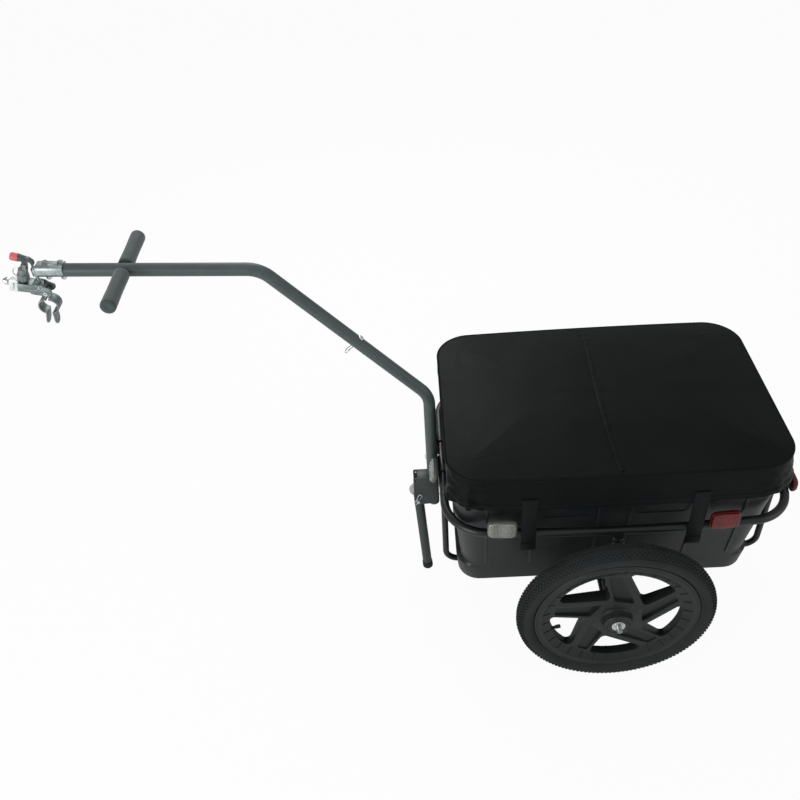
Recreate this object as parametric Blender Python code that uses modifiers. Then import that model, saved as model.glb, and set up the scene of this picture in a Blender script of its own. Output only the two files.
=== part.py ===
"""Bike cargo trailer: a plastic load box in a tube frame on two 16 inch wheels, with a tow bar and a hitch.

Metres, +Z up. X runs forward to the hitch, Y to the left. The origin lies on the ground, in the middle of
the whole length. Inside the chassis empty, X counts from the wheel axle.
"""
import math

import bmesh
import bpy
from mathutils import Matrix, Vector

# Clearance between pieces that touch
GAP = 0.0003
RUNNING_GAP = 0.0004

# Wheels
WHEEL_RADIUS = 0.200
TRACK = 0.600
TYRE_WIDTH = 0.044
TYRE_WALL = 0.005
TYRE_HEIGHT = 0.034
RIM_RADIUS = WHEEL_RADIUS - TYRE_HEIGHT
RIM_WIDTH = 0.032
RIM_LIP = 0.0025
BEAD_DEPTH = 0.006
WELL_DEPTH = 0.014
WELL_WIDTH = 0.013
BAND_DEPTH = 0.030
SPOKE_COUNT = 5
SPOKE_THICKNESS = 0.023
SPOKE_ROOT_THICKNESS = 0.032
OPENING_EDGE = 0.003
OPENING_RADIUS = RIM_RADIUS - BAND_DEPTH - OPENING_EDGE
OPENING_INNER_RADIUS = 0.062
OPENING_START = math.radians(22.5)
OPENING_SWEEP = math.radians(52)
OPENING_CORNER = 0.008
POCKET_DEPTH = 0.006
POCKET_EDGE = 0.007
HUB_RADIUS = 0.030
HUB_WIDTH = 0.066
BUSH_RADIUS = 0.011
BUSH_FLANGE_RADIUS = 0.0135
BUSH_FLANGE = 0.0015
VALVE_ANGLE = math.radians(-19.6)
VALVE_RADIUS = 0.0033
VALVE_LENGTH = 0.014
WHEEL_STEPS = 32

# Axles and the struts that carry them
AXLE_RADIUS = 0.006
AXLE_END = 0.011
AXLE_HEAD_RADIUS = 0.010
AXLE_HEAD_LENGTH = 0.006
NUT_RADIUS = 0.010
NUT_LENGTH = 0.008
WASHER_RADIUS = 0.012
WASHER_THICKNESS = 0.0015
STRUT_RADIUS = 0.011
BOSS_RADIUS = 0.013
BOSS_HALF = 0.0232
STRUT_Y = TRACK / 2 - HUB_WIDTH / 2 - BUSH_FLANGE - GAP - BOSS_HALF

# Rail round the tub, and the rods under it
RAIL_RADIUS = 0.009
RAIL_Z = 0.370
TUB_HALF_LENGTH = 0.2975
RAIL_FRONT_ROOM = 0.0355
RAIL_REAR_ROOM = 0.0565
RAIL_FRONT = TUB_HALF_LENGTH + RAIL_FRONT_ROOM
RAIL_REAR = -TUB_HALF_LENGTH - RAIL_REAR_ROOM
RAIL_BOW = 0.009
RAIL_TO_STRUT = 0.013
RAIL_HALF_WIDTH = STRUT_Y - RAIL_TO_STRUT - RAIL_BOW
RAIL_CORNER = 0.088
ROD_RADIUS = 0.006
ROD_Y = 0.100
ROD_BEND = 0.028
CROSS_ROD_BEND = 0.030

# Load box
TUB_FLOOR_Z = 0.1545
TUB_TOP_Z = 0.497
TUB_SIDE_ROOM = 0.0515
TUB_HALF_WIDTH = RAIL_HALF_WIDTH - TUB_SIDE_ROOM
TUB_DRAFT_LENGTH = math.radians(4.6)
TUB_DRAFT_WIDTH = math.radians(7.9)
TUB_CORNER = 0.045
TUB_WALL = 0.003
TUB_LIP = 0.006
TUB_FOOT_HEIGHT = 0.058
TUB_FOOT_OUT = 0.010
TUB_EDGE = 0.007
RIB_WIDTH = 0.006
RIB_PROUD = 0.0025
RIB_X = (0.253, 0.160, 0.030)
RIB_Y = (0.100,)
RIB_FOOT = 0.012
RIB_HEAD = 0.022
GRIP_X = 0.093
GRIP_LENGTH = 0.100
GRIP_Z = (0.384, 0.420)
GRIP_CORNER = 0.010
GRIP_DEPTH = 0.0015

# Cover
COVER_SEAM_Z = 0.525
COVER_CLEARANCE = 0.0016
COVER_SHEET = 0.0015
COVER_CORNER = 0.070
COVER_DOME = 0.014
COVER_SHOULDER = 0.040
COVER_CREST_HALF_WIDTH = 0.035
COVER_SKIRT = 0.068
COVER_SKIRT_LIFT = 0.030
COVER_FLARE = 0.0045
PIPING = 0.0015
FOLD_DEPTH = 0.0040
FOLD_PITCH = 0.052
GATHER_DEPTH = 0.0060
GATHER_PITCH = 0.030
GATHER_REACH = 0.090
STRAP_X = (0.174, -0.149)
STRAP_WIDTH = 0.030
STRAP_SHEET = 0.0014
STRAP_CLEARANCE = 0.0009
STRAP_TOP_Z = 0.474
STRAP_SEAM = 0.0028
STRAP_END_Z = 0.332

# Tow bar: its corner points in the middle plane
BAR_RADIUS = 0.0115
BAR_FOOT_Z = 0.232
BRACKET_SHEET = 0.0028
BAR_LET_IN = 0.0025
BAR_X = RAIL_FRONT + RAIL_RADIUS + BRACKET_SHEET + BAR_RADIUS - BAR_LET_IN
BAR_ELBOW_Z = 0.548
BAR_SLANT = math.radians(47.5)
BAR_SLANT_LENGTH = 0.4352
BAR_RISE = math.radians(3.6)
BAR_REACH = 0.3965
BAR_BEND = 0.060
BAR_WALL = 0.0015
BAR_JOINT = 0.170
BAR_SPIGOT = 0.055
JOINT_PIN_RADIUS = 0.003
JOINT_PIN_UP = 0.028
JOINT_PIN_HEAD = 0.006
JOINT_PIN_TAIL = 0.012
JOINT_RING_RADIUS = 0.009
BORE_TWIST = math.radians(8)
BASE_PIN_Z = 0.374
BASE_PIN_HEAD = 0.005
HANDLE_FROM_END = 0.152
HANDLE_LENGTH = 0.240
HANDLE_RADIUS = 0.008
GRIP_RADIUS = 0.014
GRIP_LENGTH = 0.098
GRIP_END = 0.005

# Leg and its bracket
LEG_RADIUS = 0.0095
LEG_PIVOT_Z = 0.252
LEG_LEAN = math.radians(2.8)
FOOT_CAP_LENGTH = 0.016
FOOT_CAP_WALL = 0.0015
BRACKET_ROOM = 0.0025
BRACKET_DEPTH = 0.053
BRACKET_REAR = RAIL_FRONT + RAIL_RADIUS + BRACKET_ROOM
BRACKET_FRONT = BRACKET_REAR + BRACKET_DEPTH
LEG_PIVOT_BACK = 0.009
LEG_PIVOT_X = BRACKET_FRONT - LEG_PIVOT_BACK
BRACKET_TOP_Z = 0.331
BRACKET_FOOT_Z = 0.240
BRACKET_CORNER = 0.015
BRACKET_HOLE_RADIUS = 0.0022
LEG_PIN_RADIUS = 0.004
LEG_PIN_TAIL = 0.008
KNOB_RADIUS = 0.0205
KNOB_THICKNESS = 0.0080
KNOB_BORE = 0.0055
CLIP_WIRE = 0.0010
CLIP_TILT = math.radians(-27)
CLIP_LEG = 0.017
CLIP_CURL = 0.004

# Hitch sleeve over the bar's end, and the swivel under its nose
NOSE_REACH = 0.00796
SWIVEL_RADIUS = 0.0032
SWIVEL_HEAD = 0.0050
SWIVEL_HEAD_HEIGHT = 0.0035
SWIVEL_FOOT = 0.0046
SWIVEL_FOOT_HEIGHT = 0.0022
SLEEVE_SHEET = 0.002
SLEEVE_LENGTH = 0.048
SLEEVE_SKIRT = 0.003
SLEEVE_BOLT_BACK = (0.0145, 0.0415)
SLEEVE_BOLT_RADIUS = 0.003
SLEEVE_BOLT_HEAD = 0.0052
SLEEVE_BOLT_HEIGHT = 0.0045
SLEEVE_NUT_HEIGHT = 0.005
NOSE_RADIUS = 0.0064
NOSE_UP = 0.00374
NOSE_HEIGHT = 0.0135
HEAD_DROP = 0.022
BLOCK_RADIUS = 0.0075
BLOCK_UP = 0.0065
BLOCK_DOWN = 0.0055
TRUNNION_RADIUS = 0.003

# Hitch head: places in its own frame on the trunnions, ahead (a) and up (h)
HEAD_TIP = math.radians(16)
CHEEK_SHEET = 0.0025
CHEEK_INNER = 0.010
CHEEK_REAR = -0.024
CHEEK_FRONT = 0.037
CHEEK_TOP = 0.004
CHEEK_FOOT = -0.0145
CHEEK_FRONT_FOOT = -0.0115
CHEEK_STEP = 0.014
EAR_TOP = 0.0066
WEB_START = 0.0125
HOUSING_A = 0.0295
HOUSING_RADIUS = 0.009
HOUSING_WAIST = 0.0078
HOUSING_TOP = 0.032
HOUSING_COLLAR = 0.019
HOUSING_RIBS = 8
HOUSING_RIB_RADIUS = 0.0012
PLUNGER_RADIUS = 0.0026
PLUNGER_TOP = 0.0340
PLUNGER_FOOT = -0.0015
LEVER_A = 0.0255
LEVER_H = 0.0385
LEVER_WIDTH = 0.008
LEVER_PIN_RADIUS = 0.0015
LEVER_EYE_RADIUS = 0.0035
HEEL_RADIUS = 0.003
EAR_SHEET = 0.002
TIP_H = 0.052
TIP_A = 0.0356
TIP_LENGTH = 0.0138
TIP_RADIUS = 0.0078
FLARE_A = 0.0235
FLARE_RADIUS = 0.0052
TIP_STUB_RADIUS = 0.003
RING_RADIUS = 0.0100
RING_A = 0.0370
RING_H = 0.0205
RING_TURN = math.radians(104)
RING_WIRE = 0.0009
FORK_LENGTH = 0.0175
FORK_HALF_WIDTH = 0.005
FORK_TOP = 0.0049
FORK_FOOT = -0.0206
FORK_SLOT = 0.003
FORK_SLOT_A = 0.0455
FORK_SLOT_TOP = -0.001
CLEVIS_BOLT_H = -0.003
CLEVIS_BOLT_RADIUS = 0.003
CLEVIS_BOLT_HEAD = 0.0068
CLEVIS_BOLT_HEAD_LENGTH = 0.0070
CLEVIS_BOLT_DOME = 0.0042

# Seatpost clamp, hung from a pin between the head's cheeks
CLAMP_A = -0.012
CLAMP_H = -0.009
CLAMP_PIN_RADIUS = 0.003
CLAMP_PIN_HEAD = 0.0040
CLAMP_PIN_HOLLOW = 0.0018
CLAMP_EYE_RADIUS = 0.0046
CLAMP_BORE_RADIUS = 0.0135
CLAMP_SHEET = 0.0025
CLAMP_HALF_BAND = 0.0115
CLAMP_HALF_NECK = 0.0092
CLAMP_NECK_DROP = 0.0132
CLAMP_DROP = 0.029
CLAMP_EAR = 0.0285
CLAMP_SPLIT = 0.0012
CLAMP_BOLT_HOLE = 0.0033
CLAMP_BOLT_DROP = 0.0625
CLAMP_REAR_TURN = math.radians(3)
CLAMP_FRONT_TURN = math.radians(14)

# Reflectors
REFLECTOR_LENGTH = 0.058
REFLECTOR_HEIGHT = 0.044
REFLECTOR_THICKNESS = 0.010
REFLECTOR_EDGE = 0.0025
REFLECTOR_SIDE_X = (0.225, -0.200)
REFLECTOR_SIDE_Z = 0.402
REFLECTOR_END_HEIGHT = 0.034
REFLECTOR_FRONT_Y = 0.046
REFLECTOR_CORNER_ROOM = 0.012
REFLECTOR_REAR_Y = RAIL_HALF_WIDTH - RAIL_CORNER - REFLECTOR_CORNER_ROOM
REFLECTOR_END_Z = 0.378
CLIP_WALL = 0.0028
CLIP_WIDTH = 0.012
CLIP_PAD = 0.002

# Reach of the whole trailer ahead of and behind the axle, which puts the origin in the middle
BAR_ELBOW = Vector((BAR_X, 0, BAR_ELBOW_Z))
BAR_SLANT_WAY = Vector((math.cos(BAR_SLANT), 0, math.sin(BAR_SLANT)))
BAR_TOP_BEND = BAR_ELBOW + BAR_SLANT_WAY * BAR_SLANT_LENGTH
BAR_RUN_WAY = Vector((math.cos(BAR_RISE), 0, math.sin(BAR_RISE)))
BAR_END = BAR_TOP_BEND + BAR_RUN_WAY * BAR_REACH
SWIVEL_X = BAR_END.x + NOSE_REACH
NOSE_TOP_Z = BAR_END.z + NOSE_UP
NOSE_FOOT_Z = NOSE_TOP_Z - NOSE_HEIGHT
HEAD_Z = NOSE_FOOT_Z - HEAD_DROP
FORK_START = CHEEK_FRONT + GAP
FORK_END = FORK_START + FORK_LENGTH
CLEVIS_BOLT_TIP = FORK_END + GAP + CLEVIS_BOLT_HEAD_LENGTH + CLEVIS_BOLT_DOME
FRONT_REACH = SWIVEL_X + CLEVIS_BOLT_TIP * math.cos(HEAD_TIP) - CLEVIS_BOLT_H * math.sin(HEAD_TIP)
REAR_REACH = -RAIL_REAR + RAIL_RADIUS + GAP + CLIP_WALL + CLIP_PAD + REFLECTOR_THICKNESS
AXLE_X = (REAR_REACH - FRONT_REACH) / 2

AXIS_TURN = {"X": (0, math.pi / 2, 0), "Y": (math.pi / 2, 0, 0), "Z": (0, 0, 0)}
PLANE_TURN = {"XY": (0, 0, 0), "XZ": (math.pi / 2, 0, 0), "YZ": (math.pi / 2, 0, math.pi / 2)}


def clear_scene():
    for obj in list(bpy.data.objects):
        bpy.data.objects.remove(obj, do_unlink=True)


def new_collection(name):
    collection = bpy.data.collections.new(name)
    bpy.context.scene.collection.children.link(collection)
    return collection


def new_material(name, colour, roughness, metallic=0.0):
    material = bpy.data.materials.new(name)
    material.use_nodes = True
    shader = material.node_tree.nodes["Principled BSDF"]
    shader.inputs["Base Color"].default_value = (*colour, 1)
    shader.inputs["Roughness"].default_value = roughness
    shader.inputs["Metallic"].default_value = metallic
    material.diffuse_color = (*colour, 1)
    return material


def new_frame(name, location, turn=(0, 0, 0), parent=None):
    frame = bpy.data.objects.new(name, None)
    frame.empty_display_size = 0.03
    frame.location = location
    frame.rotation_euler = turn
    frame.parent = parent
    PARTS.objects.link(frame)
    return frame


def keep(obj, name, material, parent):
    """Files an object as a sub-part, under its name, material and parent."""
    obj.name = name
    obj.data.name = name
    obj.data.materials.clear()
    obj.data.materials.append(material)
    for collection in list(obj.users_collection):
        collection.objects.unlink(obj)
    PARTS.objects.link(obj)
    obj.parent = parent
    return obj


def as_tool(obj, parent):
    """Files an object as a cutter or as a shape to join, which isn't a sub-part."""
    for collection in list(obj.users_collection):
        collection.objects.unlink(obj)
    TOOLS.objects.link(obj)
    obj.hide_render = True
    obj.display_type = "WIRE"
    obj.parent = parent
    return obj


def combine(target, tool, operation):
    as_tool(tool, target.parent)
    tool.name = f"{target.name}_{operation.lower()}_{len(target.modifiers)}"
    modifier = target.modifiers.new(tool.name, "BOOLEAN")
    modifier.operation = operation
    modifier.object = tool
    modifier.solver = "EXACT"


def cut(target, *tools):
    for tool in tools:
        combine(target, tool, "DIFFERENCE")


def join(target, *tools):
    for tool in tools:
        combine(target, tool, "UNION")


def apply_modifiers(obj):
    """Turns the evaluated shape into a plain mesh."""
    evaluated = obj.evaluated_get(bpy.context.evaluated_depsgraph_get())
    mesh = bpy.data.meshes.new_from_object(evaluated)
    solid = bpy.data.objects.new(obj.name, mesh)
    PARTS.objects.link(solid)
    solid.matrix_world = obj.matrix_world
    bpy.data.objects.remove(obj, do_unlink=True)
    return solid


def weld(obj):
    """Joins the loose caps of a shape that was a curve."""
    shape = bmesh.new()
    shape.from_mesh(obj.data)
    bmesh.ops.remove_doubles(shape, verts=shape.verts, dist=0.00001)
    shape.to_mesh(obj.data)
    shape.free()
    return obj


def group(pieces):
    """Several solids as one object, each of them where it stands."""
    bpy.context.view_layer.update()
    shape = bmesh.new()
    for piece in pieces:
        mesh = piece.data.copy()
        mesh.transform(piece.matrix_world)
        shape.from_mesh(mesh)
        bpy.data.objects.remove(piece, do_unlink=True)
    mesh = bpy.data.meshes.new("group")
    shape.to_mesh(mesh)
    shape.free()
    return smooth(bpy.data.objects.new("group", mesh))


def smooth(obj, angle=35):
    obj.data.shade_smooth()
    obj.data.set_sharp_from_angle(angle=math.radians(angle))
    return obj


def box(low, high, bevel=0.0, segments=2):
    bpy.ops.mesh.primitive_cube_add(size=1)
    obj = bpy.context.object
    size = Vector(high) - Vector(low)
    obj.data.transform(Matrix.Diagonal((*size, 1)))
    obj.location = (Vector(high) + Vector(low)) / 2
    if bevel:
        modifier = obj.modifiers.new("edges", "BEVEL")
        modifier.width = bevel
        modifier.segments = segments
    return obj


def cylinder(radius, length, centre, axis="Z", sides=20):
    bpy.ops.mesh.primitive_cylinder_add(
        vertices=sides, radius=radius, depth=length, location=centre, rotation=AXIS_TURN[axis])
    return smooth(bpy.context.object)


def rod_between(radius, start, end, sides=16, twist=0.0):
    """Cylinder from one point to another."""
    start, end = Vector(start), Vector(end)
    bpy.ops.mesh.primitive_cylinder_add(vertices=sides, radius=radius, depth=(end - start).length)
    obj = smooth(bpy.context.object)
    obj.data.transform(Matrix.Rotation(twist, 4, "Z"))
    obj.location = (start + end) / 2
    obj.rotation_euler = (end - start).to_track_quat("Z", "Y").to_euler()
    return obj


def turned(profile, steps, closed=False):
    """Profile of (radius, height) points turned round Z. It runs down its outer side."""
    mesh = bpy.data.meshes.new("profile")
    count = len(profile)
    edges = [(i, i + 1) for i in range(count - 1)]
    if closed:
        edges.append((count - 1, 0))
    mesh.from_pydata([(radius, 0, height) for radius, height in profile], edges, [])
    obj = bpy.data.objects.new("profile", mesh)
    PARTS.objects.link(obj)
    screw = obj.modifiers.new("turn", "SCREW")
    screw.steps = steps
    screw.render_steps = steps
    screw.use_merge_vertices = True
    screw.merge_threshold = 0.00005
    screw.use_smooth_shade = True
    return obj


def rounded(corners, radii, steps, closed=False):
    """Path through corner points, each corner turned into an arc of its own radius."""
    corners = [Vector(corner) for corner in corners]
    count = len(corners)
    if not isinstance(radii, (list, tuple)):
        radii = [radii] * count
    path = []
    for i, corner in enumerate(corners):
        if not closed and i in (0, count - 1) or radii[i] == 0:
            path.append(corner)
            continue
        back = (corners[i - 1] - corner).normalized()
        ahead = (corners[(i + 1) % count] - corner).normalized()
        turn = math.pi - back.angle(ahead)
        if turn < 0.001:
            continue
        middle = (back + ahead).normalized()
        centre = corner + middle * (radii[i] / math.cos(turn / 2))
        first = corner + back * (radii[i] * math.tan(turn / 2)) - centre
        last = corner + ahead * (radii[i] * math.tan(turn / 2)) - centre
        for step in range(steps + 1):
            share = step / steps
            arm = (first * math.sin((1 - share) * turn) + last * math.sin(share * turn)) / math.sin(turn)
            path.append(centre + arm)
    return path


def tube(path, radius, resolution=2, cyclic=False):
    """Round bar or wire along a path, as a mesh with its caps welded."""
    curve = bpy.data.curves.new("tube", "CURVE")
    curve.dimensions = "3D"
    curve.bevel_depth = radius
    curve.bevel_resolution = resolution
    curve.use_fill_caps = not cyclic
    spline = curve.splines.new("POLY")
    spline.points.add(len(path) - 1)
    for point, place in zip(spline.points, path):
        point.co = (*place, 1)
    spline.use_cyclic_u = cyclic
    obj = bpy.data.objects.new("tube", curve)
    PARTS.objects.link(obj)
    return smooth(weld(apply_modifiers(obj)), 50)


def plate(outline, thickness, plane="XZ", offset=0.0, holes=()):
    """Flat outline with round holes, half its thickness to either side of its plane."""
    curve = bpy.data.curves.new("plate", "CURVE")
    curve.dimensions = "2D"
    curve.fill_mode = "BOTH"
    curve.extrude = thickness / 2
    for loop in (outline, *holes):
        spline = curve.splines.new("POLY")
        spline.points.add(len(loop) - 1)
        for point, place in zip(spline.points, loop):
            point.co = (place[0], place[1], 0, 1)
        spline.use_cyclic_u = True
    obj = bpy.data.objects.new("plate", curve)
    PARTS.objects.link(obj)
    solid = weld(apply_modifiers(obj))
    solid.rotation_euler = PLANE_TURN[plane]
    solid.location = {"XY": (0, 0, offset), "XZ": (0, offset, 0), "YZ": (offset, 0, 0)}[plane]
    return smooth(solid)


def arc(centre, radius, start, end, steps):
    """Points on an arc, with its angles in radians."""
    return [Vector((centre[0] + radius * math.cos(start + (end - start) * step / steps),
                    centre[1] + radius * math.sin(start + (end - start) * step / steps)))
            for step in range(steps + 1)]


def circle(centre, radius, sides=16):
    return arc(centre, radius, 0, math.tau * (sides - 1) / sides, sides - 1)


def rounded_rectangle(half_x, half_y, radius, per_corner, per_long, per_short):
    """Closed loop of (x, y) points with the same count for any size, so loops can be lofted."""
    loop = []
    inner_x, inner_y = half_x - radius, half_y - radius
    runs = [((inner_x, inner_y), 0, per_long, (-1, 0)), ((-inner_x, inner_y), 90, per_short, (0, -1)),
            ((-inner_x, -inner_y), 180, per_long, (1, 0)), ((inner_x, -inner_y), 270, per_short, (0, 1))]
    for centre, start, count, way in runs:
        corner = arc(centre, radius, math.radians(start), math.radians(start + 90), per_corner)
        loop += corner
        run = 2 * (inner_x if way[0] else inner_y)
        loop += [corner[-1] + Vector(way) * run * step / count for step in range(1, count)]
    return loop


def loft(rings, closed_low=True, closed_high=False):
    """Open or closed skin through rings of points that have the same count."""
    shape = bmesh.new()
    rows = [[shape.verts.new(point) for point in ring] for ring in rings]
    count = len(rows[0])
    for low, high in zip(rows, rows[1:]):
        for i in range(count):
            shape.faces.new((low[i], low[(i + 1) % count], high[(i + 1) % count], high[i]))
    if closed_low:
        shape.faces.new(list(reversed(rows[0])))
    if closed_high:
        shape.faces.new(rows[-1])
    mesh = bpy.data.meshes.new("loft")
    shape.to_mesh(mesh)
    shape.free()
    obj = bpy.data.objects.new("loft", mesh)
    PARTS.objects.link(obj)
    return obj


def shell(obj, thickness):
    """Gives an open skin its wall, on the inside."""
    modifier = obj.modifiers.new("wall", "SOLIDIFY")
    modifier.thickness = thickness
    modifier.offset = -1
    modifier.use_even_offset = True
    modifier.use_quality_normals = True
    return obj


def mirrored(sides):
    """Side name and the sign of its Y, left being +Y."""
    return [(side, 1 if side == "left" else -1) for side in sides]


SIDES = mirrored(("left", "right"))


# Wheels


def wheel_frame(side, sign):
    """Frame on the wheel's middle, with its Z along the axle and away from the tub."""
    turn = (-math.pi / 2, 0, 0 if sign > 0 else math.pi)
    return new_frame(f"wheel_{side}_axis", (0, sign * TRACK / 2, WHEEL_RADIUS), turn, CHASSIS)


def polar(radius, angle):
    """Point in the wheel's plane. Its angle counts from forward to up on the left wheel."""
    return Vector((radius * math.cos(angle), -radius * math.sin(angle)))


def opening_outline(start):
    """One gap between spokes: an arc under the rim, a radial side and a slanted side."""
    sweep = OPENING_SWEEP
    outer = [polar(OPENING_RADIUS, start + sweep * step / 4) for step in range(5)]
    corners = outer + [polar(OPENING_INNER_RADIUS, start + sweep)]
    radii = [OPENING_CORNER, 0, 0, 0, OPENING_CORNER, OPENING_CORNER]
    return rounded(corners, radii, 2, closed=True)


def pocket_outline(start):
    """The sunk panel of the spoke that follows one gap, inside its two edges."""
    pitch = math.tau / SPOKE_COUNT
    edge_turn = POCKET_EDGE / OPENING_RADIUS
    outer = OPENING_RADIUS - POCKET_EDGE
    inner = OPENING_INNER_RADIUS - POCKET_EDGE
    end = start + OPENING_SWEEP
    corners = [polar(outer, end + edge_turn), polar(outer, start + pitch - 2 * edge_turn),
               polar(inner, end + OPENING_SWEEP), polar(inner, end + 2 * edge_turn)]
    return rounded(corners, POCKET_EDGE / 2, 1, closed=True)


def make_rim(side, frame):
    half_rim, half_hub = RIM_WIDTH / 2, HUB_WIDTH / 2
    band = RIM_RADIUS - BAND_DEPTH
    bead = RIM_RADIUS - BEAD_DEPTH
    upper = [
        (BUSH_RADIUS + GAP, half_hub),
        (HUB_RADIUS, half_hub),
        (HUB_RADIUS, SPOKE_ROOT_THICKNESS / 2),
        (band, SPOKE_THICKNESS / 2),
        (band + 0.010, half_rim),
        (RIM_RADIUS, half_rim),
        (RIM_RADIUS, half_rim - RIM_LIP),
        (bead, half_rim - RIM_LIP - 0.001),
        (RIM_RADIUS - WELL_DEPTH, WELL_WIDTH / 2),
    ]
    lower = [(radius, -height) for radius, height in reversed(upper)]
    rim = keep(turned(upper + lower, WHEEL_STEPS, closed=True), f"rim_{side}", NYLON, frame)
    pitch = math.tau / SPOKE_COUNT
    for spoke in range(SPOKE_COUNT):
        start = OPENING_START + spoke * pitch
        cut(rim, plate(opening_outline(start), HUB_WIDTH, "XY"))
        for face in (1, -1):
            floor = SPOKE_THICKNESS / 2 - POCKET_DEPTH
            panel = plate(pocket_outline(start), HUB_WIDTH / 2, "XY", face * (floor + HUB_WIDTH / 4))
            cut(rim, panel)
    way = polar(1, VALVE_ANGLE).to_3d()
    cut(rim, rod_between(VALVE_RADIUS + GAP, way * (RIM_RADIUS - 0.004), way * (band - 0.010), 12))


def make_tyre(side, frame):
    half_tyre = TYRE_WIDTH / 2
    section = WHEEL_RADIUS - RIM_RADIUS
    seat = RIM_RADIUS - BEAD_DEPTH + 2 * GAP
    bead_side = RIM_WIDTH / 2 - RIM_LIP - 0.001 - GAP
    upper = [
        (seat, bead_side),
        (RIM_RADIUS + 2 * GAP, bead_side),
        (RIM_RADIUS + section * 0.36, half_tyre),
        (RIM_RADIUS + section * 0.82, half_tyre * 0.77),
        (WHEEL_RADIUS, half_tyre * 0.24),
    ]
    outer = upper + [(radius, -height) for radius, height in reversed(upper)]
    cavity = [(seat, bead_side - TYRE_WALL + 0.001), (WHEEL_RADIUS - TYRE_WALL, half_tyre / 2)]
    inner = [(radius, -height) for radius, height in cavity] + list(reversed(cavity))
    keep(turned(outer + inner, WHEEL_STEPS, closed=True), f"tyre_{side}", RUBBER, frame)


def make_inner_tube(side, frame):
    """Inner tube, with its valve through the rim's inner side."""
    section = WHEEL_RADIUS - RIM_RADIUS
    narrow = TYRE_WIDTH / 8
    upper = [(WHEEL_RADIUS - TYRE_WALL - 3 * GAP, narrow), (RIM_RADIUS + section * 0.36, narrow * 1.5),
             (RIM_RADIUS - BEAD_DEPTH / 2, narrow)]
    profile = list(reversed(upper)) + [(radius, -height) for radius, height in upper]
    ring = keep(turned(profile, WHEEL_STEPS, closed=True), f"inner_tube_{side}", RUBBER, frame)
    way = polar(1, VALVE_ANGLE).to_3d()
    tip = OPENING_RADIUS - VALVE_LENGTH
    join(ring, rod_between(VALVE_RADIUS, way * (RIM_RADIUS + 0.006), way * tip, 12))


def make_bush(side, frame):
    """Bush through the hub, flanged outside and proud of it inside, where it meets the strut's boss."""
    end = HUB_WIDTH / 2 + BUSH_FLANGE
    bore = AXLE_RADIUS + RUNNING_GAP
    profile = [(bore, end), (BUSH_FLANGE_RADIUS, end), (BUSH_FLANGE_RADIUS, HUB_WIDTH / 2 + GAP),
               (BUSH_RADIUS, HUB_WIDTH / 2 + GAP), (BUSH_RADIUS, -end), (bore, -end)]
    keep(turned(profile, 16, closed=True), f"hub_bush_{side}", WHITE_NYLON, frame)


def make_axle(side, frame):
    """Axle bolt from its head inside the strut to its thread outside the hub, with its nut."""
    outer = HUB_WIDTH / 2 + BUSH_FLANGE + WASHER_THICKNESS + NUT_LENGTH + 2 * GAP + AXLE_END - NUT_LENGTH
    inner = STRUT_Y - TRACK / 2 - BOSS_HALF
    axle = keep(cylinder(AXLE_RADIUS, outer - inner, (0, 0, (outer + inner) / 2)),
                f"axle_{side}", STEEL, frame)
    head_top = inner - GAP
    join(axle, cylinder(AXLE_HEAD_RADIUS, AXLE_HEAD_LENGTH, (0, 0, head_top - AXLE_HEAD_LENGTH / 2), sides=6))
    join(axle, cylinder(AXLE_RADIUS, 0.004, (0, 0, inner)))
    seat = HUB_WIDTH / 2 + BUSH_FLANGE + GAP
    nut = keep(cylinder(WASHER_RADIUS, WASHER_THICKNESS, (0, 0, seat + WASHER_THICKNESS / 2), sides=18),
               f"axle_nut_{side}", CHROME, frame)
    middle = seat + WASHER_THICKNESS + NUT_LENGTH / 2 - 0.0002
    join(nut, cylinder(NUT_RADIUS, NUT_LENGTH, (0, 0, middle), sides=6))
    cut(nut, cylinder(AXLE_RADIUS + GAP, 3 * NUT_LENGTH, (0, 0, middle), sides=14))


def make_wheels():
    for side, sign in SIDES:
        frame = wheel_frame(side, sign)
        make_rim(side, frame)
        make_tyre(side, frame)
        make_inner_tube(side, frame)
        make_bush(side, frame)
        make_axle(side, frame)


# Frame


def rail_y(x):
    """The rail's sides bow out between its corners."""
    half = (RAIL_FRONT - RAIL_REAR) / 2 - RAIL_CORNER
    middle = (RAIL_FRONT + RAIL_REAR) / 2
    return RAIL_HALF_WIDTH + RAIL_BOW * (1 - ((x - middle) / half) ** 2)


def rail_turn(x):
    """How far the rail's left side turns from straight ahead at this place."""
    return math.atan2(rail_y(x + 0.001) - rail_y(x - 0.001), 0.002)


def make_rail():
    centre_x = RAIL_HALF_WIDTH - RAIL_CORNER
    steps = 5
    front = arc((RAIL_FRONT - RAIL_CORNER, centre_x), RAIL_CORNER, 0, math.pi / 2, steps)
    rear = arc((RAIL_REAR + RAIL_CORNER, centre_x), RAIL_CORNER, math.pi / 2, math.pi, steps)
    start, end = front[-1].x, rear[0].x
    side = []
    for step in range(1, 8):
        x = start + (end - start) * step / 8
        side.append(Vector((x, rail_y(x))))
    left = front + side + rear
    right = [Vector((point.x, -point.y)) for point in reversed(left)]
    path = [Vector((point.x, point.y, RAIL_Z)) for point in left + right]
    rail = keep(tube(path, RAIL_RADIUS, 2, cyclic=True), "frame_rail", BLACK_PAINT, CHASSIS)
    cut(rail, cylinder(JOINT_PIN_RADIUS + GAP, 4 * RAIL_RADIUS, (RAIL_FRONT, 0, BASE_PIN_Z), "X", 12))


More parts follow.
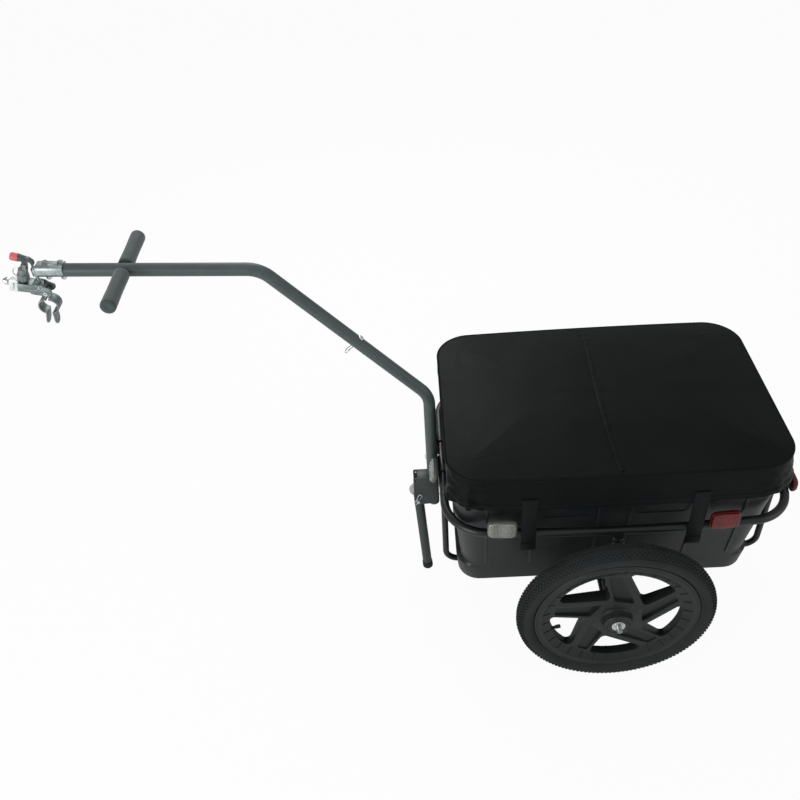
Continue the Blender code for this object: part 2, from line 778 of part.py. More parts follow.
def make_cradle():
    """Rods from the rail's front, under the tub, to its rear, and the cross rod under them."""
    run_z = TUB_FLOOR_Z - GAP - ROD_RADIUS
    top_z = RAIL_Z - RAIL_RADIUS - GAP
    for side, sign in SIDES:
        y = sign * ROD_Y
        corners = [(RAIL_FRONT, y, top_z), (RAIL_FRONT, y, run_z), (RAIL_REAR, y, run_z), (RAIL_REAR, y, top_z)]
        rod = tube(rounded(corners, ROD_BEND, 4), ROD_RADIUS, 2)
        keep(rod, f"cradle_rod_{side}", BLACK_PAINT, CHASSIS)
    low_z = run_z - 2 * ROD_RADIUS - GAP
    end_z = WHEEL_RADIUS - BOSS_RADIUS - GAP
    corners = [(0, STRUT_Y, end_z), (0, STRUT_Y, low_z), (0, -STRUT_Y, low_z), (0, -STRUT_Y, end_z)]
    rod = tube(rounded(corners, CROSS_ROD_BEND, 4), ROD_RADIUS, 2)
    keep(rod, "cradle_cross_rod", BLACK_PAINT, CHASSIS)


def make_struts():
    """Upright tube under the rail, coped to it, with the boss that holds the axle."""
    for side, sign in SIDES:
        y = sign * STRUT_Y
        top_z = RAIL_Z
        strut = cylinder(STRUT_RADIUS, top_z - WHEEL_RADIUS, (0, y, (top_z + WHEEL_RADIUS) / 2), sides=16)
        strut = keep(strut, f"axle_strut_{side}", BLACK_PAINT, CHASSIS)
        join(strut, cylinder(BOSS_RADIUS, 2 * BOSS_HALF, (0, y, WHEEL_RADIUS), "Y", 20))
        cut(strut, cylinder(AXLE_RADIUS + GAP, 4 * BOSS_HALF, (0, y, WHEEL_RADIUS), "Y", 20))
        cut(strut, cylinder(RAIL_RADIUS + GAP, 6 * STRUT_RADIUS, (0, sign * rail_y(0), RAIL_Z), "X", 20))


# Load box


def tub_half(z):
    """Outer half length and half width of the tub's wall at a height."""
    rise = z - TUB_FLOOR_Z
    return (TUB_HALF_LENGTH + rise * math.tan(TUB_DRAFT_LENGTH),
            TUB_HALF_WIDTH + rise * math.tan(TUB_DRAFT_WIDTH))


def tub_ring(z, out_x=0.0, out_y=0.0):
    half_x, half_y = tub_half(z)
    loop = rounded_rectangle(half_x + out_x, half_y + out_y, TUB_CORNER, 4, 1, 1)
    return [(point.x, point.y, z) for point in loop]


def make_tub():
    foot_top = TUB_FLOOR_Z + TUB_FOOT_HEIGHT
    rings = [
        tub_ring(TUB_FLOOR_Z, -TUB_EDGE + TUB_FOOT_OUT, -TUB_EDGE),
        tub_ring(TUB_FLOOR_Z + TUB_EDGE, TUB_FOOT_OUT, 0),
        tub_ring(foot_top - TUB_FOOT_OUT / 2, TUB_FOOT_OUT, 0),
        tub_ring(foot_top, 0, 0),
        tub_ring(TUB_TOP_Z - TUB_WALL),
        tub_ring(TUB_TOP_Z, TUB_LIP / 4, TUB_LIP),
    ]
    tub = keep(shell(loft(rings), TUB_WALL), "tub", TUB_PLASTIC, CHASSIS)
    rib_low = foot_top + RIB_FOOT
    rib_high = TUB_TOP_Z - RIB_HEAD
    middle_z = (rib_low + rib_high) / 2
    half_x, half_y = tub_half(middle_z)
    length = (rib_high - rib_low) / math.cos(TUB_DRAFT_WIDTH)
    depth = RIB_PROUD + TUB_WALL / 2
    for sign in (1, -1):
        for x in [place * end for place in RIB_X for end in (1, -1)]:
            rib = box((-RIB_WIDTH / 2, -depth / 2, -length / 2), (RIB_WIDTH / 2, depth / 2, length / 2))
            rib.location = (x, sign * (half_y + RIB_PROUD - depth / 2), middle_z)
            rib.rotation_euler = (-sign * TUB_DRAFT_WIDTH, 0, 0)
            join(tub, rib)
        for y in [place * end for place in RIB_Y for end in (1, -1)]:
            rib = box((-depth / 2, -RIB_WIDTH / 2, -length / 2), (depth / 2, RIB_WIDTH / 2, length / 2))
            rib.location = (sign * (half_x + RIB_PROUD - depth / 2), y, middle_z)
            rib.rotation_euler = (0, sign * TUB_DRAFT_LENGTH, 0)
            join(tub, rib)
        for x in (GRIP_X, -GRIP_X):
            cut(tub, grip_pocket(x, sign))


def grip_pocket(x, sign):
    """Cutter for a shallow rounded pocket in the box's side, where a hand takes it."""
    middle_z = sum(GRIP_Z) / 2
    half_x = GRIP_LENGTH / 2
    half_z = (GRIP_Z[1] - GRIP_Z[0]) / 2
    corners = [(x - half_x, -half_z), (x + half_x, -half_z), (x + half_x, half_z), (x - half_x, half_z)]
    pocket = plate(rounded(corners, GRIP_CORNER, 3, closed=True), 2 * GRIP_DEPTH, "XZ")
    pocket.location = (0, sign * tub_half(middle_z)[1], middle_z)
    pocket.rotation_euler = (math.pi / 2 - sign * TUB_DRAFT_WIDTH, 0, 0)
    return pocket


def cover_half():
    """Half length and half width of the cover at its seam, outside the tub's lip."""
    half_x, half_y = tub_half(TUB_TOP_Z)
    room = COVER_CLEARANCE + COVER_SHEET
    return half_x + TUB_LIP / 4 + room, half_y + TUB_LIP + room


def cover_ring(z, inset, lift=None):
    """Loop of the cover, so far inside its seam, with a rising hem and folds where it hangs."""
    corner_radius = COVER_CORNER if lift is None else TUB_CORNER + TUB_LIP + COVER_CLEARANCE
    half_x, half_y = [half - inset for half in cover_half()]
    radius = max(corner_radius - inset, 0.01)
    loop = rounded_rectangle(half_x, half_y, radius, 4, 11, 7)
    ring = []
    for point in loop:
        corner = cornerness(point, half_x, half_y)
        height = z if lift is None else z + lift * corner
        out = fold(point, corner) if lift is not None else 0.0
        way = Vector((point.x / half_x, point.y / half_y)).normalized()
        ring.append((point.x + way.x * out, point.y + way.y * out, height))
    return ring


def cornerness(point, half_x, half_y):
    """0 along the straight sides of the cover, rising to 1 at its corners."""
    near = min(half_x - abs(point.x), GATHER_REACH) + min(half_y - abs(point.y), GATHER_REACH)
    return max(0.0, 1 - near / GATHER_REACH)


def fold(point, corner):
    """How far the hanging skirt stands out: shallow waves, and tighter gathers at the corners."""
    along = point.x if abs(point.y) > abs(point.x) * 0.6 else point.y
    wave = FOLD_DEPTH * 0.25 * (1 - math.cos(math.tau * along / FOLD_PITCH))
    gather = GATHER_DEPTH * 0.5 * (1 + math.cos(math.tau * along / GATHER_PITCH))
    return wave * (1 - corner) + gather * corner


def make_cover():
    """Fabric cover: a domed top, a piped seam and a skirt that hangs in folds."""
    hem_z = COVER_SEAM_Z - COVER_SKIRT
    crest = cover_half()[1] - COVER_CREST_HALF_WIDTH
    rings = [
        cover_ring(hem_z, -COVER_FLARE, COVER_SKIRT_LIFT),
        cover_ring(TUB_TOP_Z + COVER_CLEARANCE, -COVER_FLARE / 2, 0),
        cover_ring(COVER_SEAM_Z - 2 * PIPING, 0),
        cover_ring(COVER_SEAM_Z, -PIPING),
        cover_ring(COVER_SEAM_Z + 2 * PIPING, PIPING),
        cover_ring(COVER_SEAM_Z + COVER_DOME * 0.45, COVER_SHOULDER),
        cover_ring(COVER_SEAM_Z + COVER_DOME * 0.85, (COVER_SHOULDER + crest) / 2),
        cover_ring(COVER_SEAM_Z + COVER_DOME, crest),
    ]
    skin = loft(rings, closed_low=False, closed_high=True)
    cover = keep(smooth(shell(skin, COVER_SHEET), 60), "cover", FABRIC, CHASSIS)
    join_straps(cover)


def join_straps(cover):
    """Four straps sewn to the skirt, which come down over the rail's outer side."""
    skirt = tub_half(TUB_TOP_Z)[1] + TUB_LIP + COVER_CLEARANCE + COVER_SHEET / 2 + COVER_FLARE
    half = STRAP_SHEET / 2
    for x in STRAP_X:
        beside = rail_y(x) + RAIL_RADIUS + STRAP_CLEARANCE + half
        line = [Vector((skirt + 0.0015, STRAP_TOP_Z)), Vector((skirt + 0.0020, STRAP_TOP_Z - 0.020)),
                Vector((beside, RAIL_Z + RAIL_RADIUS)), Vector((beside, STRAP_END_Z))]
        reach = [STRAP_SEAM, half, half, half]
        outer = [point + Vector((wide, 0)) for point, wide in zip(line, reach)]
        inner = [point - Vector((wide, 0)) for point, wide in zip(line, reach)]
        for sign in (1, -1):
            outline = [Vector((sign * point.x, point.y)) for point in outer + inner[::-1]]
            join(cover, plate(outline, STRAP_WIDTH, "YZ", x))


# Reflectors


def clip(rise):
    """Band round the rail, whose centre is the frame's origin, with a pad that rises in front of it."""
    outer = RAIL_RADIUS + GAP + CLIP_WALL
    inner = (RAIL_RADIUS + GAP) / math.cos(math.pi / 10)
    band = cylinder(outer, CLIP_WIDTH, (0, 0, 0), "Y", 10)
    pad = box((outer - 0.004, -CLIP_WIDTH / 2, -0.004), (outer + CLIP_PAD + 0.001, CLIP_WIDTH / 2, rise))
    join_now(band, pad, "UNION")
    join_now(band, cylinder(inner, 2 * CLIP_WIDTH, (0, 0, 0), "Y", 10), "DIFFERENCE")
    return band


def join_now(target, tool, operation):
    """Boolean that is applied at once, for a shape that is itself a cutter or a part of one."""
    modifier = target.modifiers.new("shape", "BOOLEAN")
    modifier.operation = operation
    modifier.object = tool
    evaluated = target.evaluated_get(bpy.context.evaluated_depsgraph_get())
    mesh = bpy.data.meshes.new_from_object(evaluated)
    mesh.transform(target.matrix_world)
    target.modifiers.clear()
    target.data = mesh
    target.matrix_world = Matrix.Identity(4)
    bpy.data.objects.remove(tool, do_unlink=True)


def make_reflector(name, material, centre, turn, height, middle_z):
    """Rounded block that looks along its frame's X, with its clip round the rail behind it."""
    frame = new_frame(f"{name}_seat", centre, (0, 0, turn), CHASSIS)
    back = RAIL_RADIUS + GAP + CLIP_WALL + CLIP_PAD
    middle = middle_z - RAIL_Z
    low = (back, -REFLECTOR_LENGTH / 2, middle - height / 2)
    high = (back + REFLECTOR_THICKNESS, REFLECTOR_LENGTH / 2, middle + height / 2)
    block = keep(box(low, high, REFLECTOR_EDGE, 1), name, material, frame)
    join(block, clip(middle + height / 4))


def make_reflectors():
    """White reflectors in front and at the sides, red ones at the sides and behind."""
    for side, sign in SIDES:
        for x, colour, glass in zip(REFLECTOR_SIDE_X, ("white", "red"), (CLEAR_LENS, RED_LENS)):
            turn = sign * (math.pi / 2 + rail_turn(x))
            make_reflector(f"reflector_side_{colour}_{side}", glass, (x, sign * rail_y(x), RAIL_Z), turn,
                           REFLECTOR_HEIGHT, REFLECTOR_SIDE_Z)
        make_reflector(f"reflector_front_{side}", CLEAR_LENS, (RAIL_FRONT, sign * REFLECTOR_FRONT_Y, RAIL_Z), 0,
                       REFLECTOR_END_HEIGHT, REFLECTOR_END_Z)
        make_reflector(f"reflector_rear_{side}", RED_LENS, (RAIL_REAR, sign * REFLECTOR_REAR_Y, RAIL_Z), math.pi,
                       REFLECTOR_END_HEIGHT, REFLECTOR_END_Z)


# Tow bar


def make_bar():
    """Lower tube with a reduced spigot, and the upper tube that slides over it."""
    joint = BAR_ELBOW + BAR_SLANT_WAY * BAR_JOINT
    foot = Vector((BAR_X, 0, BAR_FOOT_Z))
    hole = JOINT_PIN_RADIUS + GAP
    lower = keep(tube(rounded([foot, BAR_ELBOW, joint], BAR_BEND, 5), BAR_RADIUS, 4),
                 "bar_lower_tube", SLATE_PAINT, CHASSIS)
    cut(lower, cylinder(hole, 6 * BAR_RADIUS, (BAR_X, 0, BASE_PIN_Z), "X", 12))
    pin_middle = joint + BAR_SLANT_WAY * JOINT_PIN_UP
    across = Vector((-BAR_SLANT_WAY.z, 0, BAR_SLANT_WAY.x))
    pin_ends = (pin_middle - across * 3 * BAR_RADIUS, pin_middle + across * 3 * BAR_RADIUS)
    spigot_end = joint + BAR_SLANT_WAY * BAR_SPIGOT
    spigot = rod_between(BAR_RADIUS - BAR_WALL - GAP, joint - BAR_SLANT_WAY * 0.004, spigot_end, 16, BORE_TWIST)
    join_now(spigot, rod_between(hole, *pin_ends, 12), "DIFFERENCE")
    join(lower, spigot)
    upper = keep(tube(rounded([joint + BAR_SLANT_WAY * GAP, BAR_TOP_BEND, BAR_END], BAR_BEND, 5), BAR_RADIUS, 4),
                 "bar_upper_tube", SLATE_PAINT, CHASSIS)
    bore = BAR_RADIUS - BAR_WALL
    cut(upper, rod_between(hole, *pin_ends, 12))
    cut(upper, rod_between(bore, joint - BAR_SLANT_WAY * 0.005, spigot_end + BAR_SLANT_WAY * 0.002, 16, BORE_TWIST))
    make_joint_pin(pin_middle, across)
    make_base_pin()
    return upper


def make_joint_pin(middle, across):
    """Pin with a domed head, and the spring ring through its tail."""
    frame = new_frame("bar_joint_pin_axis", middle, across.to_track_quat("Z", "Y").to_euler(), CHASSIS)
    reach = BAR_RADIUS + GAP
    tail = -reach - JOINT_PIN_TAIL
    profile = [(0, reach + JOINT_PIN_HEAD * 0.6), (JOINT_PIN_HEAD * 0.6, reach + JOINT_PIN_HEAD * 0.45),
               (JOINT_PIN_HEAD, reach), (JOINT_PIN_RADIUS, reach), (JOINT_PIN_RADIUS, tail), (0, tail)]
    pin = keep(smooth(apply_modifiers(turned(profile, 16))), "bar_joint_pin", ZINC, frame)
    eye_z = tail + 0.004
    cut(pin, cylinder(CLIP_WIRE + 3 * GAP, 6 * JOINT_PIN_RADIUS, (0, 0, eye_z - GAP), "X", 10))
    path = [(0, JOINT_RING_RADIUS * math.sin(turn), eye_z - JOINT_RING_RADIUS * (1 - math.cos(turn)))
            for turn in [math.tau * step / 18 for step in range(18)]]
    ring = tube([(point[1], 0, point[2]) for point in path], CLIP_WIRE, 1, cyclic=True)
    keep(ring, "bar_joint_ring", ZINC, frame)


def make_base_pin():
    """Pin through the bar's foot and the rail, with its domed head in front."""
    front = BAR_X + BAR_RADIUS + GAP
    rear = RAIL_FRONT - RAIL_RADIUS - 0.004
    frame = new_frame("bar_base_pin_axis", (front, 0, BASE_PIN_Z), (0, math.pi / 2, 0), CHASSIS)
    profile = [(0, 0.0035), (BASE_PIN_HEAD * 0.7, 0.0025), (BASE_PIN_HEAD, 0),
               (JOINT_PIN_RADIUS, 0), (JOINT_PIN_RADIUS, rear - front), (0, rear - front)]
    keep(smooth(apply_modifiers(turned(profile, 16))), "bar_base_pin", ZINC, frame)


def make_handle(upper):
    """Cross handle through the bar near its end, with a soft grip on each side."""
    middle = BAR_END - BAR_RUN_WAY * HANDLE_FROM_END
    place = (middle.x, 0, middle.z)
    half = HANDLE_LENGTH / 2
    cut(upper, cylinder(HANDLE_RADIUS + GAP, 4 * BAR_RADIUS, place, "Y", 20))
    keep(cylinder(HANDLE_RADIUS, HANDLE_LENGTH - 2 * GRIP_END - 2 * GAP, place, "Y", 20),
         "handle_tube", SLATE_PAINT, CHASSIS)
    bore = HANDLE_RADIUS + GAP
    edge = GRIP_END * 0.8
    profile = [(0, half), (GRIP_RADIUS - edge, half), (GRIP_RADIUS, half - edge),
               (GRIP_RADIUS, half - GRIP_LENGTH + edge), (GRIP_RADIUS - edge, half - GRIP_LENGTH),
               (bore, half - GRIP_LENGTH), (bore, half - GRIP_END), (0, half - GRIP_END)]
    for side, sign in SIDES:
        frame = new_frame(f"handle_{side}_end", place, (-sign * math.pi / 2, 0, 0), CHASSIS)
        keep(smooth(apply_modifiers(turned(profile, 16))), f"handle_grip_{side}", FOAM, frame)


# Leg


def make_leg():
    """Folding leg between the two cheeks of its bracket, with its pin, clip and knob."""
    cheek_y = BAR_RADIUS + GAP + BRACKET_SHEET / 2
    outline = rounded([(BRACKET_REAR, BRACKET_TOP_Z), (BRACKET_REAR, BRACKET_FOOT_Z),
                       (BRACKET_FRONT, BRACKET_FOOT_Z - 0.004), (BRACKET_FRONT, BRACKET_TOP_Z)],
                      [0.004, BRACKET_CORNER, 0.004, 0.004], 4, closed=True)
    hole = circle((BRACKET_FRONT - 0.0055, BRACKET_TOP_Z - 0.0075), BRACKET_HOLE_RADIUS, 12)
    pivot = circle((LEG_PIVOT_X, LEG_PIVOT_Z), LEG_PIN_RADIUS + GAP, 16)
    bracket = plate(outline, BRACKET_SHEET, "XZ", cheek_y, (hole, pivot))
    bracket = keep(bracket, "bar_bracket", BLACK_PAINT, CHASSIS)
    join(bracket, plate(outline, BRACKET_SHEET, "XZ", -cheek_y, (hole, pivot)))
    web_z = BRACKET_TOP_Z - 0.006
    front_x = BAR_X + BAR_RADIUS + GAP
    web = box((front_x, -cheek_y, web_z - BRACKET_SHEET), (BRACKET_FRONT - 0.012, cheek_y, web_z))
    join(bracket, web)
    frame = new_frame("leg_axis", (LEG_PIVOT_X, 0, LEG_PIVOT_Z), (0, LEG_LEAN, 0), CHASSIS)
    drop = LEG_PIVOT_Z / math.cos(LEG_LEAN)
    top = LEG_RADIUS
    leg_end = -drop + FOOT_CAP_WALL + LEG_RADIUS * math.tan(LEG_LEAN) + 0.001
    leg = keep(cylinder(LEG_RADIUS, top - leg_end, (0, 0, (top + leg_end) / 2), sides=16),
               "stand_leg", BLACK_PAINT, frame)
    edge = leg.modifiers.new("edges", "BEVEL")
    edge.width = 0.003
    edge.segments = 1
    edge.limit_method = "ANGLE"
    cut(leg, cylinder(LEG_PIN_RADIUS + RUNNING_GAP, 4 * LEG_RADIUS, (0, 0, 0), "Y", 16))
    make_foot_cap(frame, leg_end)
    make_leg_pin(cheek_y)


def make_foot_cap(frame, leg_end):
    """Rubber cap on the leg's end, rounded underneath and flat where it stands."""
    inner = LEG_RADIUS + GAP
    outer = inner + FOOT_CAP_WALL
    top = leg_end + FOOT_CAP_LENGTH
    floor = leg_end - GAP
    foot = -LEG_PIVOT_Z
    profile = [(0, floor), (inner, floor), (inner, top), (outer, top), (outer, floor - 0.001),
               (outer * 0.55, foot - 0.004), (0, foot - 0.004)]
    cap = keep(smooth(apply_modifiers(turned(profile, 16)), 50), "leg_foot_cap", RUBBER, frame)
    ground = box((-0.03, -0.03, foot - 0.03), (0.03, 0.03, foot))
    ground.data.transform(Matrix.Translation(ground.location))
    ground.location = (0, 0, 0)
    ground.rotation_euler = (0, -LEG_LEAN, 0)
    cut(cap, ground)


def make_leg_pin(cheek_y):
    """Pin across the bracket, with the spring clip on its left end and the knob on its right one."""
    side = cheek_y + BRACKET_SHEET / 2 + GAP
    tail = side + LEG_PIN_TAIL
    frame = new_frame("leg_pin_axis", (LEG_PIVOT_X, 0, LEG_PIVOT_Z), (-math.pi / 2, 0, 0), CHASSIS)
    profile = [(0, tail), (LEG_PIN_RADIUS * 0.75, tail), (LEG_PIN_RADIUS, tail - 0.001),
               (LEG_PIN_RADIUS, -side - KNOB_BORE + GAP), (0, -side - KNOB_BORE + GAP)]
    pin = keep(smooth(apply_modifiers(turned(profile, 16))), "leg_pivot_pin", ZINC, frame)
    eye = side + LEG_PIN_TAIL / 2
    way = Vector((math.sin(CLIP_TILT), -math.cos(CLIP_TILT)))
    across = Vector((-way.y, way.x))
    ends = [Vector((*(way * reach), eye)) for reach in (-0.02, 0.02)]
    cut(pin, rod_between(CLIP_WIRE + GAP, *ends, 10))
    curl = [(CLIP_LEG + CLIP_CURL * math.sin(turn), CLIP_CURL * (1 - math.cos(turn)))
            for turn in [math.radians(45 * step) for step in range(5)]]
    beside = LEG_PIN_RADIUS + CLIP_WIRE + GAP
    wave = [(0.009, CLIP_CURL * 1.6), (0.003, beside), (-0.003, beside), (-0.007, beside + 0.003)]
    path = [way * along + across * off for along, off in [(-0.011, 0), *curl, *wave]]
    keep(tube([(point.x, point.y, eye) for point in path], CLIP_WIRE, 1), "leg_clip", ZINC, frame)
    make_knob(side)


def make_knob(side):
    """Round clamping knob on the pin's right end."""
    profile = [(0, side + KNOB_THICKNESS), (KNOB_RADIUS * 0.86, side + KNOB_THICKNESS),
               (KNOB_RADIUS, side + KNOB_THICKNESS * 0.7), (KNOB_RADIUS, side + KNOB_THICKNESS * 0.35),
               (KNOB_RADIUS * 0.86, side), (LEG_PIN_RADIUS + GAP, side),
               (LEG_PIN_RADIUS + GAP, side + KNOB_BORE), (0, side + KNOB_BORE)]
    axis = new_frame("leg_knob_axis", (LEG_PIVOT_X, 0, LEG_PIVOT_Z), (math.pi / 2, 0, 0), CHASSIS)
    keep(smooth(apply_modifiers(turned(profile, 20))), "leg_lock_knob", GREY_NYLON, axis)


# Hitch


def make_sleeve(upper):
    """Channel over the bar's end, with a nose for the swivel bolt, and the two bolts that hold it."""
    frame = new_frame("sleeve_axis", BAR_END, (0, -BAR_RISE, 0), CHASSIS)
    inner = BAR_RADIUS + GAP
    outer = inner + SLEEVE_SHEET
    front = GAP + SLEEVE_SHEET * 0.75
    outline = rounded([(-outer, -SLEEVE_SKIRT), (-outer, outer), (outer, outer), (outer, -SLEEVE_SKIRT)],
                      [0, 0.007, 0.007, 0], 4, closed=True)
    sleeve = keep(plate(outline, SLEEVE_LENGTH, "YZ", front - SLEEVE_LENGTH / 2), "hitch_sleeve", ZINC, frame)
    cut(sleeve, cylinder(inner, 2 * SLEEVE_LENGTH, (GAP - SLEEVE_LENGTH, 0, 0), "X", 24))
    cut(sleeve, box((-2 * SLEEVE_LENGTH, -inner, -0.03), (GAP, inner, 0)))
    nose_x = (SWIVEL_X - BAR_END.x) / math.cos(BAR_RISE)
    lift = BAR_END.z + nose_x * math.sin(BAR_RISE)
    low, high = NOSE_FOOT_Z - lift, NOSE_TOP_Z - lift
    join(sleeve, upright(NOSE_RADIUS, nose_x, low, high, 20))
    join(sleeve, box((front - 0.001, 0.0004 - NOSE_RADIUS, low + 0.003), (nose_x, NOSE_RADIUS - 0.0004, high - 0.001)))
    cut(sleeve, upright(SWIVEL_RADIUS + RUNNING_GAP, nose_x, low - 0.01, high + 0.01, 16))
    bore_end = BAR_END - BAR_RUN_WAY * (SLEEVE_BOLT_BACK[0] - 2 * SLEEVE_BOLT_RADIUS)
    cut(upper, rod_between(BAR_RADIUS - BAR_WALL, bore_end, BAR_END + BAR_RUN_WAY * 0.005, 16, BORE_TWIST))
    for back in SLEEVE_BOLT_BACK:
        cut(sleeve, cylinder(SLEEVE_BOLT_RADIUS + GAP, 0.08, (-back, 0, 0), sides=12))
        hole = cylinder(SLEEVE_BOLT_RADIUS + GAP, 0.08, BAR_END - BAR_RUN_WAY * back, sides=12)
        hole.rotation_euler = (0, -BAR_RISE, 0)
        cut(upper, hole)
    make_sleeve_bolts(outer, frame)


def upright(radius, x, low, high, sides):
    """Cylinder that stands upright in the sleeve's rising frame."""
    obj = cylinder(radius, high - low, (x, 0, (low + high) / 2), sides=sides)
    obj.rotation_euler = (0, BAR_RISE, 0)
    return obj


def make_sleeve_bolts(top, frame):
    """Two hexagon bolts down through the sleeve and the bar, with a nut under each."""
    tail = -BAR_RADIUS - GAP - SLEEVE_NUT_HEIGHT - 0.002
    for place, back in zip(("front", "rear"), SLEEVE_BOLT_BACK):
        shank = cylinder(SLEEVE_BOLT_RADIUS, top + 0.002 - tail, (-back, 0, (top + 0.002 + tail) / 2), sides=12)
        bolt = keep(shank, f"sleeve_bolt_{place}", STEEL, frame)
        middle = top + GAP + SLEEVE_BOLT_HEIGHT / 2
        join(bolt, cylinder(SLEEVE_BOLT_HEAD, SLEEVE_BOLT_HEIGHT, (-back, 0, middle), sides=6))
        centre = (-back, 0, -BAR_RADIUS - GAP - SLEEVE_NUT_HEIGHT / 2)
        nut = keep(cylinder(SLEEVE_BOLT_HEAD, SLEEVE_NUT_HEIGHT, centre, sides=6),
                   f"sleeve_nut_{place}", STEEL, frame)
        cut(nut, cylinder(SLEEVE_BOLT_RADIUS + GAP, 4 * SLEEVE_NUT_HEIGHT, centre, sides=12))


def make_swivel():
    """Upright bolt under the sleeve's nose, and the block with cross trunnions that turns on it."""
    frame = new_frame("swivel_axis", (SWIVEL_X, 0, 0), parent=CHASSIS)
    head = NOSE_TOP_Z + GAP
    foot = HEAD_Z - BLOCK_DOWN - GAP
    profile = [(0, head + SWIVEL_HEAD_HEIGHT), (SWIVEL_HEAD * 0.7, head + SWIVEL_HEAD_HEIGHT),
               (SWIVEL_HEAD, head + SWIVEL_HEAD_HEIGHT * 0.5), (SWIVEL_HEAD, head), (SWIVEL_RADIUS, head),
               (SWIVEL_RADIUS, foot), (SWIVEL_FOOT, foot), (SWIVEL_FOOT, foot - SWIVEL_FOOT_HEIGHT),
               (0, foot - SWIVEL_FOOT_HEIGHT)]
    keep(smooth(apply_modifiers(turned(profile, 16))), "swivel_bolt", STEEL, frame)
    height = BLOCK_UP + BLOCK_DOWN
    block = cylinder(BLOCK_RADIUS, height, (0, 0, HEAD_Z + (BLOCK_UP - BLOCK_DOWN) / 2), sides=20)
    block = keep(block, "swivel_block", STEEL, frame)
    reach = CHEEK_INNER + CHEEK_SHEET - GAP
    join(block, cylinder(TRUNNION_RADIUS, 2 * reach, (0, 0, HEAD_Z), "Y", 16))
    cut(block, cylinder(SWIVEL_RADIUS + RUNNING_GAP, 3 * height, (0, 0, HEAD_Z), sides=16))
    return frame


def make_bracket(frame):
    """Two cheeks joined by a web on top and one in front."""
    outline = rounded(
        [(CHEEK_FRONT, CHEEK_FOOT + 0.0015), (CHEEK_STEP + 0.001, CHEEK_FRONT_FOOT),
         (CHEEK_STEP - 0.001, CHEEK_FOOT), (CHEEK_REAR + 0.006, CHEEK_FOOT), (CHEEK_REAR, CHEEK_FOOT + 0.007),
         (CHEEK_REAR + 0.002, 0), (-0.009, CHEEK_TOP), (-0.005, EAR_TOP), (0.005, EAR_TOP), (0.0095, CHEEK_TOP),
         (CHEEK_FRONT, CHEEK_TOP)],
        [0.001, 0.001, 0.001, 0.006, 0.005, 0.003, 0.002, 0.003, 0.003, 0.002, 0.001], 2, closed=True)
    holes = (circle((0, 0), TRUNNION_RADIUS + RUNNING_GAP, 16),
             circle((CLAMP_A, CLAMP_H), CLAMP_PIN_RADIUS + GAP, 16))
    middle = CHEEK_INNER + CHEEK_SHEET / 2
    bracket = keep(plate(outline, CHEEK_SHEET, "XZ", middle, holes), "hitch_bracket", ZINC_GREY, frame)
    join(bracket, plate(outline, CHEEK_SHEET, "XZ", -middle, holes))
    low, high = CHEEK_TOP - CHEEK_SHEET, CHEEK_TOP - 0.0001
    join(bracket, box((WEB_START, -middle, low), (CHEEK_FRONT - 0.0002, middle, high)))
    front = box((CHEEK_FRONT - CHEEK_SHEET, -middle, CHEEK_FOOT + 0.003), (CHEEK_FRONT - 0.0002, middle, low + 0.001))
    join(bracket, front)
    cut(bracket, cylinder(PLUNGER_RADIUS + GAP, 0.02, (HOUSING_A, 0, high), sides=16))
    cut(bracket, cylinder(CLEVIS_BOLT_RADIUS + GAP, 0.02, (CHEEK_FRONT, 0, CLEVIS_BOLT_H), "X", 16))


def make_housing(frame):
    """Upright lock housing with ribs round its waist, ears for the lever, and the plunger inside."""
    axis = new_frame("housing_axis", (HOUSING_A, 0, 0), parent=frame)
    low = CHEEK_TOP + GAP
    profile = [(0, HOUSING_TOP), (HOUSING_RADIUS * 0.6, HOUSING_TOP - 0.0004),
               (HOUSING_RADIUS * 0.92, HOUSING_TOP - 0.0025), (HOUSING_RADIUS, HOUSING_TOP - 0.006),
               (HOUSING_RADIUS, HOUSING_COLLAR), (HOUSING_WAIST, HOUSING_COLLAR - 0.001),
               (HOUSING_WAIST, low), (0, low)]
    housing = keep(smooth(apply_modifiers(turned(profile, 16))), "lock_housing", GREY_NYLON, axis)
    ribs = []
    for rib in range(HOUSING_RIBS):
        angle = math.tau * (rib + 0.5) / HOUSING_RIBS
        x, y = HOUSING_WAIST * math.cos(angle), HOUSING_WAIST * math.sin(angle)
        height = HOUSING_COLLAR - low - 0.002
        ribs.append(cylinder(HOUSING_RIB_RADIUS, height, (x, y, low + 0.0008 + height / 2), sides=5))
    join(housing, group(ribs))
    pivot = LEVER_A - HOUSING_A
    middle = LEVER_WIDTH / 2 + GAP + EAR_SHEET / 2
    half = LEVER_EYE_RADIUS
    outline = rounded([(pivot - half, HOUSING_TOP - 0.006), (pivot + half, HOUSING_TOP - 0.006),
                       (pivot + half, LEVER_H + half), (pivot - half, LEVER_H + half)],
                      [0, 0, half * 0.9, half * 0.9], 3, closed=True)
    for sign in (1, -1):
        join(housing, plate(outline, EAR_SHEET, "XZ", sign * middle))
    join(housing, cylinder(LEVER_PIN_RADIUS, 2 * middle + 0.001, (pivot, 0, LEVER_H), "Y", 12))
    cut(housing, cylinder(PLUNGER_RADIUS + RUNNING_GAP, 4 * HOUSING_TOP, (0, 0, 0), sides=16))
    plunger = [(0, PLUNGER_TOP), (PLUNGER_RADIUS * 0.8, PLUNGER_TOP), (PLUNGER_RADIUS, PLUNGER_TOP - 0.001),
               (PLUNGER_RADIUS, PLUNGER_FOOT), (0, PLUNGER_FOOT)]
    keep(smooth(apply_modifiers(turned(plunger, 12))), "lock_plunger", STEEL, axis)
    return housing


def bow(turn):
    """Open ring in the middle plane, so far round to either side of straight ahead."""
    angles = [turn - 2 * turn * step / 14 for step in range(15)]
    return [(RING_RADIUS * math.cos(angle), 0, RING_RADIUS * math.sin(angle)) for angle in angles]


